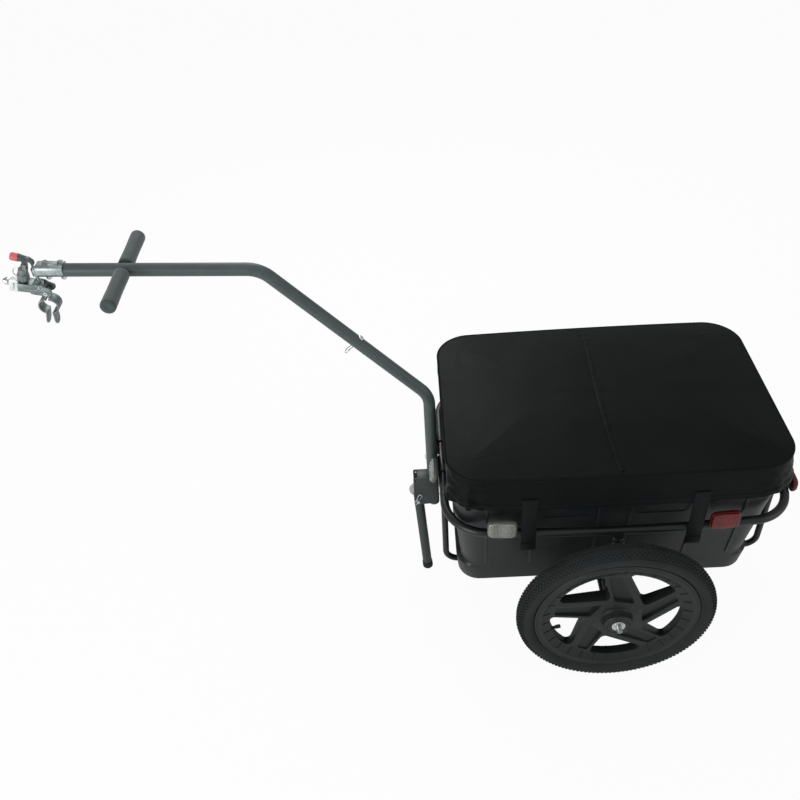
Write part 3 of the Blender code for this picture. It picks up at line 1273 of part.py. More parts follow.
def make_safety_ring(frame, housing):
    """Wire bow in front of the housing, its two ends let into it."""
    axis = new_frame("safety_ring_axis", (RING_A, 0, RING_H), parent=frame)
    keep(tube(bow(RING_TURN), RING_WIRE, 1), "safety_ring", STEEL, axis)
    seat = tube([(x + RING_A - HOUSING_A, y, z + RING_H) for x, y, z in bow(RING_TURN + 0.06)], RING_WIRE + GAP, 1)
    cut(housing, seat)


def make_fork(frame):
    """Bright slotted fork ahead of the bracket, and the bolt along it that holds it on."""
    outline = rounded([(FORK_START, FORK_FOOT), (FORK_SLOT_A - FORK_SLOT / 2, FORK_FOOT),
                       (FORK_SLOT_A - FORK_SLOT / 2, FORK_SLOT_TOP), (FORK_SLOT_A + FORK_SLOT / 2, FORK_SLOT_TOP),
                       (FORK_SLOT_A + FORK_SLOT / 2, FORK_FOOT), (FORK_END, FORK_FOOT),
                       (FORK_END, FORK_TOP), (FORK_START, FORK_TOP)],
                      [0.002, 0.0005, 0.0014, 0.0014, 0.0005, 0.002, 0.006, 0.004], 3, closed=True)
    fork = keep(plate(outline, 2 * FORK_HALF_WIDTH, "XZ"), "hitch_clevis", ZINC, frame)
    cut(fork, cylinder(CLEVIS_BOLT_RADIUS + GAP, 4 * FORK_LENGTH, (FORK_START, 0, CLEVIS_BOLT_H), "X", 16))
    axis = new_frame("clevis_bolt_axis", (FORK_END + GAP, 0, CLEVIS_BOLT_H), (0, math.pi / 2, 0), frame)
    length = FORK_LENGTH + CHEEK_SHEET + 2 * GAP + 0.0015
    dome = CLEVIS_BOLT_HEAD_LENGTH + CLEVIS_BOLT_DOME
    wide = CLEVIS_BOLT_HEAD * 0.72
    profile = [(0, dome), (wide * 0.6, dome - 0.0006), (wide, dome - 0.0025), (wide, CLEVIS_BOLT_HEAD_LENGTH / 2),
               (CLEVIS_BOLT_RADIUS, CLEVIS_BOLT_HEAD_LENGTH / 2), (CLEVIS_BOLT_RADIUS, -length), (0, -length)]
    bolt = keep(smooth(apply_modifiers(turned(profile, 16))), "clevis_bolt", CHROME, axis)
    join(bolt, cylinder(CLEVIS_BOLT_HEAD, CLEVIS_BOLT_HEAD_LENGTH, (0, 0, CLEVIS_BOLT_HEAD_LENGTH / 2), sides=6))


def make_lever(frame):
    """Locking lever: a curved arm and a flare on the housing's pin, with a bright tip."""
    axis = new_frame("lever_axis", (LEVER_A, 0, LEVER_H), parent=frame)
    tip_h = TIP_H - LEVER_H
    flare = FLARE_A - LEVER_A
    line = [(flare + 0.004, tip_h + 0.0040), (flare - 0.0055, tip_h + 0.0030), (-0.0145, tip_h - 0.0015),
            (-0.0165, 0.0075), (-0.0155, 0.0025), (-0.0120, 0.0020), (-0.0115, 0.0060), (-0.0085, 0.0095),
            (-LEVER_EYE_RADIUS, tip_h - 0.0040), (-LEVER_EYE_RADIUS, -LEVER_EYE_RADIUS),
            (LEVER_EYE_RADIUS, -LEVER_EYE_RADIUS), (LEVER_EYE_RADIUS + 0.002, tip_h)]
    radii = [0, 0.004, 0.006, 0.004, 0.001, 0.001, 0.003, 0.003, 0.001, 0.003, 0.003, 0]
    arm = keep(plate(rounded(line, radii, 3, closed=True), LEVER_WIDTH, "XZ"), "lock_lever", ZINC_GREY, axis)
    heel_x = HOUSING_A - LEVER_A
    heel_z = PLUNGER_TOP + GAP - LEVER_H + HEEL_RADIUS
    join(arm, cylinder(HEEL_RADIUS, LEVER_WIDTH - 0.002, (heel_x, 0, heel_z), "Y", 16))
    tip = TIP_A - FLARE_A
    stub = tip + TIP_LENGTH * 0.6
    cone = [(0, stub), (TIP_STUB_RADIUS, stub), (TIP_STUB_RADIUS, tip), (TIP_RADIUS * 0.94, tip),
            (FLARE_RADIUS, 0), (0, 0)]
    cone = apply_modifiers(turned(cone, 16))
    cone.rotation_euler = (0, math.pi / 2, 0)
    cone.location = (flare, 0, tip_h)
    join(arm, cone)
    cut(arm, cylinder(LEVER_PIN_RADIUS + RUNNING_GAP, 0.03, (0, 0, 0), "Y", 16))
    grip_axis = new_frame("lever_grip_axis", (TIP_A + GAP - LEVER_A, 0, tip_h), (0, math.pi / 2, 0), axis)
    deep = TIP_LENGTH * 0.6 + 2 * GAP
    bore = TIP_STUB_RADIUS + GAP
    profile = [(0, TIP_LENGTH), (TIP_RADIUS * 0.78, TIP_LENGTH), (TIP_RADIUS * 0.94, TIP_LENGTH - 0.0015),
               (TIP_RADIUS, 0.001), (TIP_RADIUS * 0.95, 0), (bore, 0), (bore, deep), (0, deep)]
    keep(smooth(apply_modifiers(turned(profile, 16))), "lever_grip", RED_PLASTIC, grip_axis)


def make_head(swivel):
    """The head, tipped up on the trunnions."""
    frame = new_frame("head_axis", (0, 0, HEAD_Z), (0, -HEAD_TIP, 0), swivel)
    make_bracket(frame)
    make_safety_ring(frame, make_housing(frame))
    make_fork(frame)
    make_lever(frame)
    hang = new_frame("clamp_axis", (CLAMP_A, 0, CLAMP_H), (0, HEAD_TIP, 0), frame)
    make_clamp(hang)


def clamp_outline(sign):
    """Side outline of one half of the clamp, its eye at the origin: sign +1 is the front half."""
    centre = (0, -CLAMP_DROP)
    outer = CLAMP_BORE_RADIUS + CLAMP_SHEET
    face = CLAMP_SPLIT / 2
    ear_out = face + CLAMP_SHEET
    foot = -CLAMP_DROP - CLAMP_BORE_RADIUS - CLAMP_EAR
    outer_arc = arc(centre, outer, math.radians(52), math.asin(ear_out / outer) - math.pi / 2, 8)
    inner_arc = arc(centre, CLAMP_BORE_RADIUS, math.asin(face / CLAMP_BORE_RADIUS) - math.pi / 2,
                    math.pi / 2 - math.asin(face / CLAMP_BORE_RADIUS), 10)
    top = -CLAMP_EYE_RADIUS * 0.5
    points = outer_arc + [Vector((ear_out, foot)), Vector((face, foot))] + inner_arc
    points += [Vector((face, top)), Vector((face + CLAMP_SHEET, top)),
               Vector((face + CLAMP_SHEET, -CLAMP_NECK_DROP + 0.002))]
    return [Vector((sign * point.x, point.y)) for point in points]


def make_clamp(hang):
    """Two half clamps on one pin: the rear one carries the middle eye, the front one the outer two."""
    eye_half = CHEEK_INNER - GAP
    split = eye_half * 0.36
    foot = -CLAMP_DROP - CLAMP_BORE_RADIUS - CLAMP_EAR
    for name, sign, turn in (("rear", -1, CLAMP_REAR_TURN), ("front", 1, CLAMP_FRONT_TURN)):
        frame = new_frame(f"clamp_{name}_axis", (0, 0, 0), (0, -turn, 0), hang)
        half = plate(clamp_outline(sign), 2 * CLAMP_HALF_BAND, "XZ")
        half = keep(half, f"clamp_half_{name}", ZINC_GREY, frame)
        for side in (1, -1):
            low, high = sorted((side * CLAMP_HALF_NECK, side * 0.03))
            cut(half, box((-0.03, low, -CLAMP_NECK_DROP), (0.03, high, 0.01)))
        cut(half, box((-0.03, -0.03, -CLAMP_EYE_RADIUS - 0.001), (0.03, 0.03, 0.01)))
        spans = [(-split, split)] if sign < 0 else [(split + GAP, eye_half - GAP), (GAP - eye_half, -split - GAP)]
        for low, high in spans:
            eye = cylinder(CLAMP_EYE_RADIUS, high - low, (0, (low + high) / 2, 0), "Y", 20)
            near, far = sorted((sign * CLAMP_SPLIT / 2, sign * (CLAMP_SPLIT / 2 + CLAMP_SHEET - 0.0001)))
            join_now(eye, box((near, low + 0.0001, -CLAMP_EYE_RADIUS - 0.003), (far, high - 0.0001, 0)), "UNION")
            join(half, eye)
        cut(half, cylinder(CLAMP_PIN_RADIUS + RUNNING_GAP, 0.05, (0, 0, 0), "Y", 16))
        cut(half, cylinder(CLAMP_BOLT_HOLE, 0.04, (0, 0, -CLAMP_BOLT_DROP), "X", 14))
        cut(half, ear_rounding(foot))
    axis = new_frame("clamp_pin_axis", (0, 0, 0), (-math.pi / 2, 0, 0), hang)
    reach = CHEEK_INNER + CHEEK_SHEET + GAP
    end = reach + 0.0012
    deep = end - 0.005
    profile = [(0, deep), (CLAMP_PIN_HOLLOW, deep), (CLAMP_PIN_HOLLOW, end), (CLAMP_PIN_HEAD, end),
               (CLAMP_PIN_HEAD, reach), (CLAMP_PIN_RADIUS, reach), (CLAMP_PIN_RADIUS, -reach),
               (CLAMP_PIN_HEAD, -reach), (CLAMP_PIN_HEAD, -end), (0, -end)]
    keep(smooth(apply_modifiers(turned(profile, 16))), "clamp_pivot_bolt", ZINC, axis)


def ear_rounding(foot):
    """Cutter that leaves the ears a round end."""
    radius = CLAMP_HALF_BAND + 0.0001
    start = foot + radius
    edge = radius + 0.005
    end = arc((0, start), radius, 0, -math.pi, 10)
    outline = [Vector((edge, start)), *end, Vector((-edge, start)), Vector((-edge, foot - 0.005)),
               Vector((edge, foot - 0.005))]
    return plate(outline, 0.04, "YZ")


clear_scene()
PARTS = new_collection("bike_cargo_trailer")
TOOLS = new_collection("cutters")
BLACK_PAINT = new_material("black_paint", (0.018, 0.020, 0.020), 0.35)
SLATE_PAINT = new_material("slate_paint", (0.060, 0.080, 0.080), 0.45)
RUBBER = new_material("tyre_rubber", (0.020, 0.022, 0.022), 0.8)
NYLON = new_material("black_nylon", (0.022, 0.025, 0.025), 0.5)
WHITE_NYLON = new_material("white_nylon", (0.6, 0.6, 0.58), 0.5)
GREY_NYLON = new_material("grey_nylon", (0.25, 0.27, 0.27), 0.5)
TUB_PLASTIC = new_material("tub_polypropylene", (0.022, 0.025, 0.026), 0.45)
FABRIC = new_material("cover_fabric", (0.006, 0.007, 0.008), 0.85)
FOAM = new_material("grip_foam", (0.015, 0.018, 0.018), 0.9)
STEEL = new_material("steel", (0.30, 0.31, 0.31), 0.4, 1)
ZINC = new_material("bright_zinc", (0.55, 0.58, 0.58), 0.3, 1)
ZINC_GREY = new_material("grey_zinc", (0.22, 0.25, 0.25), 0.45, 1)
CHROME = new_material("chrome", (0.7, 0.7, 0.7), 0.12, 1)
RED_PLASTIC = new_material("red_plastic", (0.62, 0.09, 0.10), 0.4)
CLEAR_LENS = new_material("clear_lens", (0.45, 0.45, 0.42), 0.2)
RED_LENS = new_material("red_lens", (0.28, 0.01, 0.012), 0.2)

CHASSIS = new_frame("chassis", (AXLE_X, 0, 0))
make_wheels()
make_rail()
make_cradle()
make_struts()
make_tub()
make_cover()
make_reflectors()
UPPER_TUBE = make_bar()
make_handle(UPPER_TUBE)
make_leg()
make_sleeve(UPPER_TUBE)
make_head(make_swivel())
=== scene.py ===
"""Bike cargo trailer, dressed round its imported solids.

Metres, +Z up. X runs ahead to the hitch, Y to the trailer's left, and the ground is at Z = 0.
The sections follow the trailer as it is put together: wheels, frame, box, cover, reflectors, tow bar,
leg and hitch.
"""
import math
import bpy
from mathutils import Matrix, Vector, noise


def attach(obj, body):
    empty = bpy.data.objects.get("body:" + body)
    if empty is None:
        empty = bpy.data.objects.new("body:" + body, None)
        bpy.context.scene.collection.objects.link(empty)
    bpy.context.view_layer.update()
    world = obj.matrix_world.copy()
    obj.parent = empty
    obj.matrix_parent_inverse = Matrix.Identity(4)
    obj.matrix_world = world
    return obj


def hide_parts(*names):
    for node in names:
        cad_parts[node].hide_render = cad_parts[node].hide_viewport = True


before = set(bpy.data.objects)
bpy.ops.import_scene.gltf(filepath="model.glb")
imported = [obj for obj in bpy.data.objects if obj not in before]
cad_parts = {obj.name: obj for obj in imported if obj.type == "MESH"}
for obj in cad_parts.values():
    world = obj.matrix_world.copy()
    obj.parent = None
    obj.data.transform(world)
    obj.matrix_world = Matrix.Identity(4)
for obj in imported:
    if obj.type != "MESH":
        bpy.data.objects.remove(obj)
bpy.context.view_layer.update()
bpy.ops.object.select_all(action="DESELECT")

# Camera: a person's eye height, beside the box on the trailer's left, looking down at it.
# The place, turn and lens come from the trailer's known wheel, rail, box and bar in the photograph.
AXLE_X = -0.36898
CAMERA_PLACE = Vector((AXLE_X + 0.3622, 1.3319, 1.6878))
CAMERA_YAW = math.radians(2.199)
CAMERA_PITCH = math.radians(40.744)
CAMERA_ROLL = math.radians(-4.479)
CAMERA_LENS = 38.64
bpy.ops.object.camera_add(location=CAMERA_PLACE)
camera = bpy.context.object
camera.name = "camera"
camera.data.sensor_width = 36
camera.data.lens = CAMERA_LENS
look = Vector((math.sin(CAMERA_YAW) * math.cos(CAMERA_PITCH),
               -math.cos(CAMERA_YAW) * math.cos(CAMERA_PITCH), -math.sin(CAMERA_PITCH)))
level = Vector((-math.cos(CAMERA_YAW), -math.sin(CAMERA_YAW), 0))
plumb = level.cross(look)
across = level * math.cos(CAMERA_ROLL) + plumb * math.sin(CAMERA_ROLL)
upward = across.cross(look)
camera.matrix_world = Matrix.Translation(CAMERA_PLACE) @ Matrix((across, upward, -look)).transposed().to_4x4()
bpy.context.scene.camera = camera
bpy.context.scene.view_settings.view_transform = "Standard"


def linear(colour):
    """Linear colour of an sRGB hex value."""
    channels = [int(colour[place:place + 2], 16) / 255 for place in (0, 2, 4)]
    return (*[c / 12.92 if c <= 0.04045 else ((c + 0.055) / 1.055) ** 2.4 for c in channels], 1)


def add_node(tree, kind, settings=(), values=(), links=(), stops=()):
    """Adds a node with its settings, its sockets' values, what feeds them and its ramp's colours."""
    node = tree.nodes.new(kind)
    for name, value in dict(settings).items():
        setattr(node, name, value)
    for name, value in dict(values).items():
        node.inputs[name].default_value = value
    for name, source in dict(links).items():
        tree.links.new(source, node.inputs[name])
    for index, (position, colour) in enumerate(stops):
        ramp = node.color_ramp
        element = ramp.elements[index] if index < 2 else ramp.elements.new(position)
        element.position = position
        element.color = linear(colour)
    return node


# Studio: a white sweep under and behind the trailer, and four soft lamps.
# The camera and glass see the white surround; mirrors and the trailer's own faces see a dimmer one.
SURROUND = 0.40
FLOOR_SIZE = 24
world = bpy.data.worlds.new("studio")
bpy.context.scene.world = world
world.use_nodes = True
tree = world.node_tree
tree.nodes.clear()
rays = add_node(tree, "ShaderNodeLightPath")
seen = add_node(tree, "ShaderNodeMath", {"operation": "MAXIMUM"},
                links={0: rays.outputs["Is Camera Ray"], 1: rays.outputs["Is Transmission Ray"]})
strength = add_node(tree, "ShaderNodeMapRange", values={"To Min": SURROUND, "To Max": 1},
                    links={"Value": seen.outputs[0]})
sky = add_node(tree, "ShaderNodeBackground", values={"Color": linear("ffffff")},
               links={"Strength": strength.outputs[0]})
add_node(tree, "ShaderNodeOutputWorld", links={"Surface": sky.outputs[0]})

bpy.ops.mesh.primitive_plane_add(size=FLOOR_SIZE, location=(0, 0, 0))
floor = bpy.context.object
floor.name = "floor"
white_sweep = bpy.data.materials.new("white_paper_sweep")
white_sweep.use_nodes = True
tree = white_sweep.node_tree
tree.nodes.clear()
rays = add_node(tree, "ShaderNodeLightPath")
paper = add_node(tree, "ShaderNodeBsdfDiffuse", values={"Color": linear("f4f4f4")})
glow = add_node(tree, "ShaderNodeEmission", values={"Color": linear("ffffff")})
share = add_node(tree, "ShaderNodeMath", {"operation": "MULTIPLY"}, {1: 0.95},
                 {0: rays.outputs["Is Camera Ray"]})
blend = add_node(tree, "ShaderNodeMixShader", links={0: share.outputs[0], 1: paper.outputs[0],
                                                     2: glow.outputs[0]})
add_node(tree, "ShaderNodeOutputMaterial", links={"Surface": blend.outputs[0]})
floor.data.materials.append(white_sweep)

for name, place, size, power in (("window", (1.7, 1.9, 1.2), 1.4, 26), ("ceiling", (-0.2, -0.2, 2.7), 1.8, 8),
                                 ("far_window", (0.35, -1.75, 1.95), 0.9, 14),
                                 ("rear_fill", (-2.2, 0.9, 1.0), 1.2, 5)):
    bpy.ops.object.light_add(type="AREA", location=place)
    lamp = bpy.context.object
    lamp.name = name
    lamp.data.size = size
    lamp.data.energy = power
    lamp.rotation_euler = (Vector((AXLE_X + 0.2, 0, 0.4)) - Vector(place)).to_track_quat("-Z", "Y").to_euler()


# Tyres: 16 inch black rubber on a moulded casing, 44 mm wide and 400 mm over the tread.
# The tread has small slanted blocks across the crown and short lugs on the shoulders.
# Each is built flat, its axle along Z, and then set on its side of the trailer.
WHEEL_RADIUS = 0.200
TRACK = 0.600
WHEEL_STEPS = 144
RIM_RADIUS = 0.166
BEAD_RADIUS = 0.1606
BEAD_HALF = 0.0122
CASING_HALF = 0.0218
CASING_WALL = 0.0045
TREAD_DEPTH = 0.0011
TREAD_PITCHES = 132
TREAD_ROWS = ((0.0, 0.0058, 0.0034, 0, 0.0), (0.0044, 0.0060, 0.0032, 26, 0.5),
              (0.0086, 0.0060, 0.0032, -24, 0.0), (0.0126, 0.0058, 0.0032, 20, 0.5),
              (0.0162, 0.0054, 0.0032, -12, 0.0), (0.0193, 0.0046, 0.0026, 0, 0.5))
SIDES = (("left", 1), ("right", -1))
WHEEL_SEAT = {side: Matrix.Translation((AXLE_X, sign * TRACK / 2, WHEEL_RADIUS))
              @ Matrix.Rotation(0 if sign > 0 else math.pi, 4, "Z") @ Matrix.Rotation(-math.pi / 2, 4, "X")
              for side, sign in SIDES}


def start_finish(name, values):
    """A new material, and its surface: node tree, plain shader, and each point's place on the piece."""
    finish = bpy.data.materials.new(name)
    finish.use_nodes = True
    tree = finish.node_tree
    shader = tree.nodes["Principled BSDF"]
    for label, value in values.items():
        shader.inputs[label].default_value = value
    place = add_node(tree, "ShaderNodeTexCoord").outputs["Object"]
    return finish, (tree, shader, place)


def patchy(surface, cloud, stops, dull, span=(0.3, 0.7)):
    """Lets a surface's colour and dullness drift in patches, as handling and dust leave it."""
    tree, shader, place = surface
    drift = add_node(tree, "ShaderNodeTexNoise", values=cloud, links={"Vector": place})
    tone = add_node(tree, "ShaderNodeValToRGB", links={"Fac": drift.outputs["Fac"]}, stops=stops)
    wear = add_node(tree, "ShaderNodeMapRange", links={"Value": drift.outputs["Fac"]},
                    values={"From Min": span[0], "From Max": span[1], "To Min": dull[0], "To Max": dull[1]})
    tree.links.new(tone.outputs["Color"], shader.inputs["Base Color"])
    tree.links.new(wear.outputs[0], shader.inputs["Roughness"])


def raised(surface, height, strength, distance):
    """Gives a surface the relief of a pattern's height."""
    tree, shader, place = surface
    skin = add_node(tree, "ShaderNodeBump", values={"Strength": strength, "Distance": distance},
                    links={"Height": height})
    tree.links.new(skin.outputs["Normal"], shader.inputs["Normal"])


def grained(surface, grain, detail, strength, distance):
    """An even fine grain, such as a mould's spark marks or a paint's orange peel."""
    tree, shader, place = surface
    grit = add_node(tree, "ShaderNodeTexNoise", values={"Scale": 1 / grain, "Detail": detail},
                    links={"Vector": place})
    raised(surface, grit.outputs["Fac"], strength, distance)


def take_up(piece):
    """Selects one piece alone, and makes it the one that operators work on."""
    bpy.ops.object.select_all(action="DESELECT")
    piece.select_set(True)
    bpy.context.view_layer.objects.active = piece


def apply_modifier(piece, kind, **settings):
    """Adds a modifier with its settings and applies it."""
    bpy.context.view_layer.objects.active = piece
    modifier = piece.modifiers.new(kind.lower(), kind)
    for label, value in settings.items():
        setattr(modifier, label, value)
    bpy.ops.object.modifier_apply(modifier=modifier.name)


def edit(piece, *steps):
    """Runs edit-mode steps on the whole of a piece."""
    take_up(piece)
    bpy.ops.object.mode_set(mode="EDIT")
    bpy.ops.mesh.select_all(action="SELECT")
    for step, settings in steps:
        step(**settings)
    bpy.ops.object.mode_set(mode="OBJECT")


def close_up(piece):
    """Merges what coincides and turns every face outwards."""
    edit(piece, (bpy.ops.mesh.remove_doubles, {"threshold": 0.00001}),
         (bpy.ops.mesh.normals_make_consistent, {"inside": False}))


def ease(piece, angle=32):
    """Shades a piece smooth, but for edges sharper than an angle."""
    take_up(piece)
    bpy.ops.object.shade_smooth_by_angle(angle=math.radians(angle))


def lathe(profile, sides, ring=False, smooth=None):
    """A circle drawn at the profile's first point, then extruded and resized from point to point.

    The profile is (radius, height). A ring's last loop is bridged to its first, otherwise both ends are
    filled. Edges below the smooth angle are shaded round.
    """
    radius, height = profile[0]
    bpy.ops.mesh.primitive_circle_add(vertices=sides, radius=radius, location=(0, 0, 0))
    piece = bpy.context.object
    bpy.ops.object.mode_set(mode="EDIT")
    bpy.ops.transform.translate(value=(0, 0, height))
    for next_radius, next_height in profile[1:]:
        bpy.ops.mesh.extrude_region_move(TRANSFORM_OT_translate={"value": (0, 0, next_height - height)})
        scale = next_radius / radius
        bpy.ops.transform.resize(value=(scale, scale, 1), center_override=(0, 0, next_height))
        radius, height = next_radius, next_height
    bpy.ops.mesh.select_all(action="DESELECT")
    bpy.ops.mesh.select_non_manifold()
    if ring:
        bpy.ops.mesh.bridge_edge_loops()
    else:
        bpy.ops.mesh.fill_holes(sides=0)
    bpy.ops.object.mode_set(mode="OBJECT")
    close_up(piece)
    if smooth:
        ease(piece, smooth)
    return piece


def set_down(piece, placement):
    """Moves a piece to its place, into its mesh."""
    piece.matrix_world = placement @ piece.matrix_world
    take_up(piece)
    bpy.ops.object.transform_apply(location=True, rotation=True, scale=True)
    return piece


def join_pieces(pieces):
    """Joins pieces into the first one."""
    bpy.ops.object.select_all(action="DESELECT")
    for piece in pieces:
        piece.select_set(True)
    bpy.context.view_layer.objects.active = pieces[0]
    bpy.ops.object.join()
    return bpy.context.object


def copy_piece(piece):
    """A copy with its own mesh."""
    copy = piece.copy()
    copy.data = piece.data.copy()
    bpy.context.scene.collection.objects.link(copy)
    return copy


def discard(*pieces):
    """Removes patterns and tools that have done their work."""
    for piece in pieces:
        bpy.data.objects.remove(piece, do_unlink=True)


def fit(piece, name, finish, body, slot, *nodes):
    """Names a finished piece, gives it its finish and body, and says which solids it stands for."""
    set_down(piece, Matrix.Identity(4))
    piece.name = name
    piece.data.name = name
    piece.data.materials.clear()
    piece.data.materials.append(finish)
    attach(piece, body)
    if nodes:
        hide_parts(*nodes)
    return piece


# Natural and butadiene rubber with carbon black: dull, dusty in the hollows, mould lines round the wall.
tyre_rubber, surface = start_finish("moulded_tyre_rubber", {"Roughness": 0.78, "Specular IOR Level": 0.35})
patchy(surface, {"Scale": 14, "Detail": 6, "Roughness": 0.65}, ((0.3, "191c1c"), (0.72, "2e3333")),
       (0.62, 0.88))
grained(surface, 0.0016, 3, 0.35, 0.0003)

crown = WHEEL_RADIUS - TREAD_DEPTH
half_section = [(BEAD_RADIUS, BEAD_HALF), (0.1645, BEAD_HALF), (0.1672, 0.0138), (0.1690, 0.0166),
                (0.1702, 0.0176), (0.1712, 0.0176), (0.1722, 0.0188), (0.1752, 0.0208), (0.1790, CASING_HALF),
                (0.1830, 0.0216), (0.1868, 0.0204), (0.1905, 0.0184), (0.1936, 0.0156), (0.1960, 0.0118),
                (0.1974, 0.0070), (crown, 0.0)]
outer_skin = half_section + [(radius, -height) for radius, height in reversed(half_section[:-1])]
inner_skin = [(BEAD_RADIUS, -(BEAD_HALF - 0.0035)), (0.1700, -0.0130), (0.1800, -(CASING_HALF - CASING_WALL)),
              (0.1890, -0.0130), (crown - CASING_WALL, 0.0)]
inner_skin += [(radius, -height) for radius, height in reversed(inner_skin[:-1])]
casing = lathe(outer_skin + inner_skin, WHEEL_STEPS, ring=True, smooth=40)
lugs = []
for width, along, thick, slant, stagger in TREAD_ROWS:
    for hand in ((1,) if width == 0 else (1, -1)):
        bpy.ops.mesh.primitive_cube_add(size=1, location=(0, 0, 0))
        lug = bpy.context.object
        bpy.ops.object.mode_set(mode="EDIT")
        bpy.ops.transform.resize(value=(TREAD_DEPTH + 0.0016, along, thick))
        bpy.ops.object.mode_set(mode="OBJECT")
        for vertex in lug.data.vertices:
            if vertex.co.x > 0:
                vertex.co.y *= 0.74
                vertex.co.z *= 0.70
        rise = min(half_section, key=lambda point: abs(point[1] - width) + (point[0] < 0.1868))
        lean = math.asin(min(1, width / 0.024))
        lug.matrix_world = (Matrix.Rotation((stagger + 0.001) * math.tau / TREAD_PITCHES, 4, "Z")
                            @ Matrix.Translation((rise[0] + 0.0006 * math.cos(lean), 0,
                                                  hand * (width + 0.0004)))
                            @ Matrix.Rotation(-hand * lean, 4, "Y")
                            @ Matrix.Rotation(hand * math.radians(slant), 4, "X"))
        lugs.append(lug)
pitch = join_pieces(lugs)
set_down(pitch, Matrix.Identity(4))
bpy.ops.object.empty_add(location=(0, 0, 0), rotation=(0, 0, math.tau / TREAD_PITCHES))
step = bpy.context.object
apply_modifier(pitch, "ARRAY", count=TREAD_PITCHES, use_relative_offset=False, use_object_offset=True,
               offset_object=step)
discard(step)
tyre = join_pieces([casing, pitch])
for side, sign in SIDES:
    fit(set_down(copy_piece(tyre), WHEEL_SEAT[side]), f"tyre_with_tread_{side}", tyre_rubber, f"wheel_{side}",
        "tyre_rubber", f"tyre_{side}")
discard(tyre)


# Rims: one-piece moulded wheels of glass-filled nylon with five raked spokes, sunk between their edges.
# A sloping band with thin cross ribs runs round inside the rim's face, and the hub stands proud of it.
SPOKE_COUNT = 5
OPENING_RADIUS = 0.133
OPENING_INNER_RADIUS = 0.062
OPENING_START = math.radians(22.5)
OPENING_SWEEP = math.radians(52)
OPENING_CORNER = 0.009
POCKET_EDGE = 0.007
POCKET_FLOOR = 0.0058
HUB_RADIUS = 0.030
HUB_HALF = 0.033
BUSH_RADIUS = 0.0113
RIM_HALF = 0.016
BAND = ((0.1345, 0.0094), (0.1500, 0.0148))
BAND_RIBS = 30
RIB_THICKNESS = 0.0011


def round_corners(corners, radii, steps, closed=False):
    """Path through corner points, with each corner turned into an arc."""
    corners = [Vector(corner) for corner in corners]
    count = len(corners)
    radii = list(radii) if isinstance(radii, (list, tuple)) else [radii] * count
    path = []
    for index, corner in enumerate(corners):
        if (not closed and index in (0, count - 1)) or radii[index] == 0:
            path.append(corner)
            continue
        back = (corners[index - 1] - corner).normalized()
        ahead = (corners[(index + 1) % count] - corner).normalized()
        turn = math.pi - back.angle(ahead)
        if turn < 0.001:
            continue
        middle = corner + (back + ahead).normalized() * (radii[index] / math.cos(turn / 2))
        first = corner + back * (radii[index] * math.tan(turn / 2)) - middle
        last = corner + ahead * (radii[index] * math.tan(turn / 2)) - middle
        for step in range(steps + 1):
            share = step / steps
            arm = (first * math.sin((1 - share) * turn) + last * math.sin(share * turn)) / math.sin(turn)
            path.append(middle + arm)
    return path


def blank(outline, low, high):
    """A flat blank cut to an outline in the XY plane and extruded from one height to another."""
    bpy.ops.mesh.primitive_circle_add(vertices=len(outline), radius=1, fill_type="NGON", location=(0, 0, 0))
    piece = bpy.context.object
    for vertex, point in zip(piece.data.vertices, outline):
        vertex.co = (point[0], point[1], low)
    bpy.ops.object.mode_set(mode="EDIT")
    bpy.ops.mesh.extrude_region_move(TRANSFORM_OT_translate={"value": (0, 0, high - low)})
    bpy.ops.object.mode_set(mode="OBJECT")
    close_up(piece)
    return piece


def machine(piece, tool, operation="DIFFERENCE"):
    """Cuts a piece with a tool, or welds the tool on, and throws the tool away."""
    apply_modifier(piece, "BOOLEAN", operation=operation, object=tool, solver="EXACT")
    discard(tool)
    return piece


def drill(piece, radius, depth, place=(0, 0, 0), turn=(0, 0, 0), sides=40):
    """Cuts a round hole of a radius and depth, its middle at a place."""
    bpy.ops.mesh.primitive_cylinder_add(vertices=sides, radius=radius, depth=depth, location=place,
                                        rotation=turn)
    return machine(piece, bpy.context.object)


def soften_edges(piece, width, segments=2, angle=35):
    """Rounds every edge that is sharper than the angle."""
    edit(piece, (bpy.ops.mesh.remove_doubles, {"threshold": 0.00001}),
         (bpy.ops.mesh.dissolve_limited, {"angle_limit": math.radians(0.6)}))
    apply_modifier(piece, "BEVEL", width=width, segments=segments, limit_method="ANGLE",
                   angle_limit=math.radians(angle), use_clamp_overlap=True)
    ease(piece, 36)
    return piece


def block(place, size, edge):
    """A block with its edges rounded, its middle at a place."""
    bpy.ops.mesh.primitive_cube_add(size=1, location=place, scale=size)
    return soften_edges(set_down(bpy.context.object, Matrix.Identity(4)), edge, 2)


def on_wheel(radius, angle):
    """Point on the wheel's flat, whose angle counts from ahead to up."""
    return Vector((radius * math.cos(angle), -radius * math.sin(angle)))


def moulded_plastic(name, dark, light, grain, roughness):
    """Injection moulded plastic: a fine sparked grain, faint flow marks, handling shine and dust."""
    finish, surface = start_finish(name, {"Specular IOR Level": 0.45})
    patchy(surface, {"Scale": 9, "Detail": 5, "Distortion": 0.6}, ((0.3, dark), (0.7, light)),
           (roughness - 0.07, roughness + 0.08))
    grained(surface, grain, 4, 0.22, 0.0002)
    return finish


